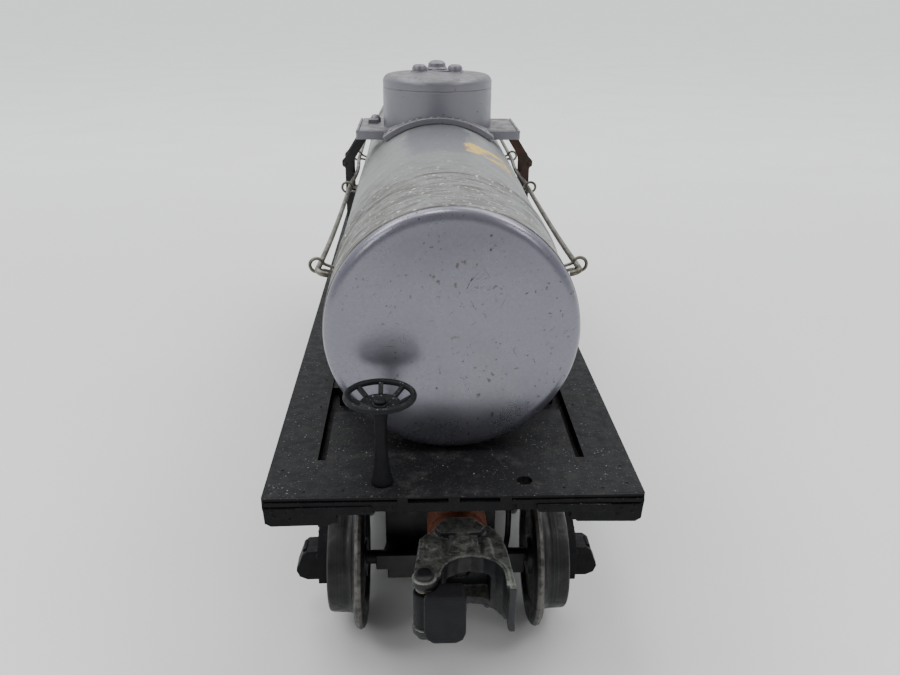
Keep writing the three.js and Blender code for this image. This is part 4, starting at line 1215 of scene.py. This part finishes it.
def side_frame(truck, side, node):
    """A cast truss with journal boxes, a nest of springs and rows of rivets."""
    face = 22.3
    piece = truck.cad(node)
    truck.make(piece, f"{node}_casting", "truck", BLACK_PLAIN, [node], bevel=0.22)
    detail = Piece()
    for y in (-HALF_BASE, HALF_BASE):
        lid = rounded([(24.9, 14.0), (26.3, 11.1), (25.9, 10.1), (25.4, 10.1), (24.3, 13.6)], 0.25, 2)
        detail.prism([(side * x, z) for x, z in lid], "y", y * side - 1.6, y * side + 1.6)
        detail.tube([(side * 24.55, (y - 1.3) * side, 14.5), (side * 24.55, (y + 1.3) * side, 14.5)], 0.5, 12)
        for a in (-3.0, 3.0):
            detail.ball((side * face, (y + a) * side, 14.6), 0.4, 0.7, axis="x" if side > 0 else "-x")
    for y in (-2.6, 2.6):
        turns = 5
        helix = []
        for k in range(turns * 16 + 1):
            turn = 2 * math.pi * k / 16
            helix.append((side * face + 1.75 * math.cos(turn), y + 1.75 * math.sin(turn), 8.4 + 8.2 * k / (turns * 16)))
        detail.tube(helix, 0.42, 8)
    detail.box(*sorted((side * (face - 0.3), side * (face + 2.3))), -5, 5, 16.9, 17.8)
    for y in (-4.5, 4.5):
        detail.tube([(side * (face + 0.1), y, 17.5), (side * (face + 0.1), y, 27.2)], 0.45, 8)
    for k in range(5):
        for sign in (-1, 1):
            along = 9.5 + 2.2 * k
            height = 21.2 - 0.95 * k
            detail.ball((side * face, sign * along, height - 1.4), 0.27, 0.7, axis="x" if side > 0 else "-x")
    truck.make(detail, f"{node}_fittings", "truck", BLACK_PLAIN, [], bevel=0.1)


MOUTH_X = 2.9  # of the round mouth's middle, as in the CAD
MOUTH_RADIUS = 5.1
LUG_FACE = 1.1
ARM_REACH = 1.3


def coupler(truck):
    """The head, the knuckle in its mouth, the pin through both and the spring on the pin."""
    y = lambda from_face: FACE + from_face
    head = truck.cad("coupler_head")
    top = 25.2
    raised = [
        ([(-4.6, y(5.3)), (-1.6, y(5.9)), (-1.2, y(10.6)), (-4.2, y(10.6))], 0.35),
        ([(-0.4, y(6.9)), (4.3, y(6.7)), (4.1, y(11.4)), (-0.2, y(11.4))], 0.5),
        ([(5.0, y(6.2)), (6.3, y(5.6)), (6.1, y(10.4)), (4.9, y(11.2))], 0.4),
    ]
    for outline, rise in raised:
        head.prism(rounded(outline, 0.3), "z", top - 0.5, top + rise)
    head.lathe([(0, top), (0.95, top), (0.85, top + 0.7), (0, top + 0.7)], "z", (-2.9, y(8.3), 0), 24)
    ring = [(0.7, top), (1.5, top), (1.45, top + 0.95), (0.7, top + 0.95)]
    head.lathe(ring, "z", (1.9, y(9.4), 0), 24, closed=True)
    head.ball((1.9, y(7.8), top + 0.5), 0.5, 0.6)
    for k in range(5):
        head.box(-5.0, -4.5, y(5.8 + 1.0 * k), y(6.2 + 1.0 * k), top - 0.4, top + 0.3)
    for k in range(4):
        head.ball((5.6, y(6.6 + 1.2 * k), top + 0.4), 0.34, 0.7)
    arch = arc((MOUTH_X, y(LUG_FACE)), MOUTH_RADIUS, 180, 0, 12)
    mouth = [*arch, (MOUTH_X + MOUTH_RADIUS, y(-ARM_REACH))]
    lip = [(x, a + 0.45, top - 0.12) for x, a in mouth]
    head.tube(lip, 0.42, 10)
    head.lathe([(0, 15.9), (1.8, 15.9), (1.8, 17.0), (0, 17.0)], "z", (*KNUCKLE_PIVOT, 0), 32)
    collar = [(0.95, 24.6), (1.95, 24.6), (2.0, 25.1), (1.9, 25.5), (1.7, 25.75), (0.95, 25.8)]
    head.lathe(collar, "z", (*KNUCKLE_PIVOT, 0), 32, closed=True)
    head.ball((5.5, y(5.7), 16.6), 0.55, 1.0, axis="-z")
    made = truck.make(head, "coupler_casting", "truck", COUPLER, ["coupler_head"])
    cast(made, 0.17, 3)
    knuckle = truck.cad("knuckle")
    made = truck.make(knuckle, "knuckle_casting", "knuckle", KNUCKLE, ["knuckle"], bevel=0.35)
    cast(made, 0.17, 10)
    pin = rounded([(0, 15.1), (1.25, 15.1), (1.25, 15.7), (0.8, 15.7), (0.8, 25.85), (1.5, 25.85), (1.5, 26.2),
                   (1.0, 26.5), (0, 26.5)], 0.12, 2, closed=False)
    truck.make(Piece().lathe(pin, "z", (*KNUCKLE_PIVOT, 0), 32), "knuckle_rivet", "truck", BLACK_STEEL,
               ["knuckle_pin"], smooth=45)
    spring = Piece()
    helix = [(KNUCKLE_PIVOT[0] + 1.25 * math.cos(0.5 * k), KNUCKLE_PIVOT[1] + 1.25 * math.sin(0.5 * k),
              23.5 + 0.75 * k / 38) for k in range(39)]
    spring.tube(helix, 0.12, 8)
    truck.make(spring, "knuckle_coil_spring", "truck", WIRE, ["knuckle_spring"], smooth=60)


def coil(truck):
    low, high = node_box("front_coil")
    start = low.y + TRUCK_CENTRE
    length = high.y - low.y
    x, z = (low.x + high.x) / 2, (low.z + high.z) / 2
    turns = 16
    profile = [(1.95, 0), (4.9, 0), (5.0, 0.15), (5.0, 0.55), (4.6, 0.7)]
    for k in range(turns):
        at = 0.8 + (length - 1.6) * (k + 0.5) / turns
        profile += [(4.68, at - 0.22), (4.8, at), (4.68, at + 0.22)]
    profile += [(4.6, length - 0.7), (5.0, length - 0.55), (5.0, length - 0.15), (4.9, length), (1.95, length)]
    wound = Piece().lathe(profile, "y", (x, start, z), 64, closed=True)
    truck.make(wound, "coil_winding", "truck", COIL_WRAP, ["coil"], smooth=60)
    tape = Piece().lathe([(4.7, 2.2), (5.05, 2.25), (5.05, 6.6), (4.7, 6.65)], "y", (x, start, z), 64, closed=True)
    truck.make(tape, "coil_tape", "truck", COIL_WRAP, [], bevel=0.08)
    rod_low, rod_high = node_box("front_plunger")
    rod = rounded([(0, rod_low.y + TRUCK_CENTRE), (1.2, rod_low.y + TRUCK_CENTRE),
                   (1.2, rod_high.y + TRUCK_CENTRE), (0, rod_high.y + TRUCK_CENTRE)], 0.2, 3, closed=False)
    truck.make(Piece().lathe(rod, "y", (x, 0, z), 32), "plunger_rod", "plunger", BLACK_STEEL, ["plunger"], smooth=40)


def lead(truck):
    route = [(6.9, -15.6, 23.2), (9.4, -15.3, 22.8), (10.7, -14.9, 20.6), (10.9, -14.6, 17), (10.8, -14.2, 13),
             (10.3, -12.6, 10), (8, -9.6, 8.7), (5.4, -7.6, 8.6)]
    truck.make(Piece().tube(spline(route, 6), 0.5, 12), "coil_lead_wire", "truck", INSULATION, ["coil_lead"], smooth=70)


def stud_and_clip(truck):
    profile = rounded([(0, 22), (2.8, 22), (3.2, 22.3), (3.2, 23), (1.9, 23), (1.9, 38.2), (1.4, 38.2), (1.4, 39.1),
                       (1.9, 39.1), (1.9, 39.5), (1.7, 39.7), (0, 39.7)], 0.1, 2, closed=False)
    truck.make(Piece().lathe(profile, "z", (0, 0, 0), 32), "stud", None, BRIGHT, ["pivot_stud"], smooth=40)
    truck.make(truck.cad("stud_clip"), "horseshoe_clip", None, BRIGHT, ["stud_clip"], bevel=0.1)


def plates(truck):
    """The sheet parts, whose CAD shapes are right and need only softened edges."""
    for node, name, material in (
        ("bolster", "bolster_plate", BLACK_STEEL),
        ("drawbar", "drawbar_strap", BLACK_STEEL),
        ("shoe_carrier", "shoe_carrier_plate", BLACK_STEEL),
        ("shoe_insulator", "shoe_insulator_sheet", FIBRE),
        ("contact_shoe", "contact_shoe_skate", BRIGHT),
    ):
        truck.make(truck.cad(node), name, "truck", material, [node], bevel=0.15)


for end_name, toward in (("front", -1), ("rear", 1)):
    truck = Truck(end_name, toward)
    wheelset(truck, "outer", -HALF_BASE)
    wheelset(truck, "inner", HALF_BASE)
    side_frame(truck, 1, "right_side_frame")
    side_frame(truck, -1, "left_side_frame")
    coupler(truck)
    coil(truck)
    lead(truck)
    stud_and_clip(truck)
    plates(truck)
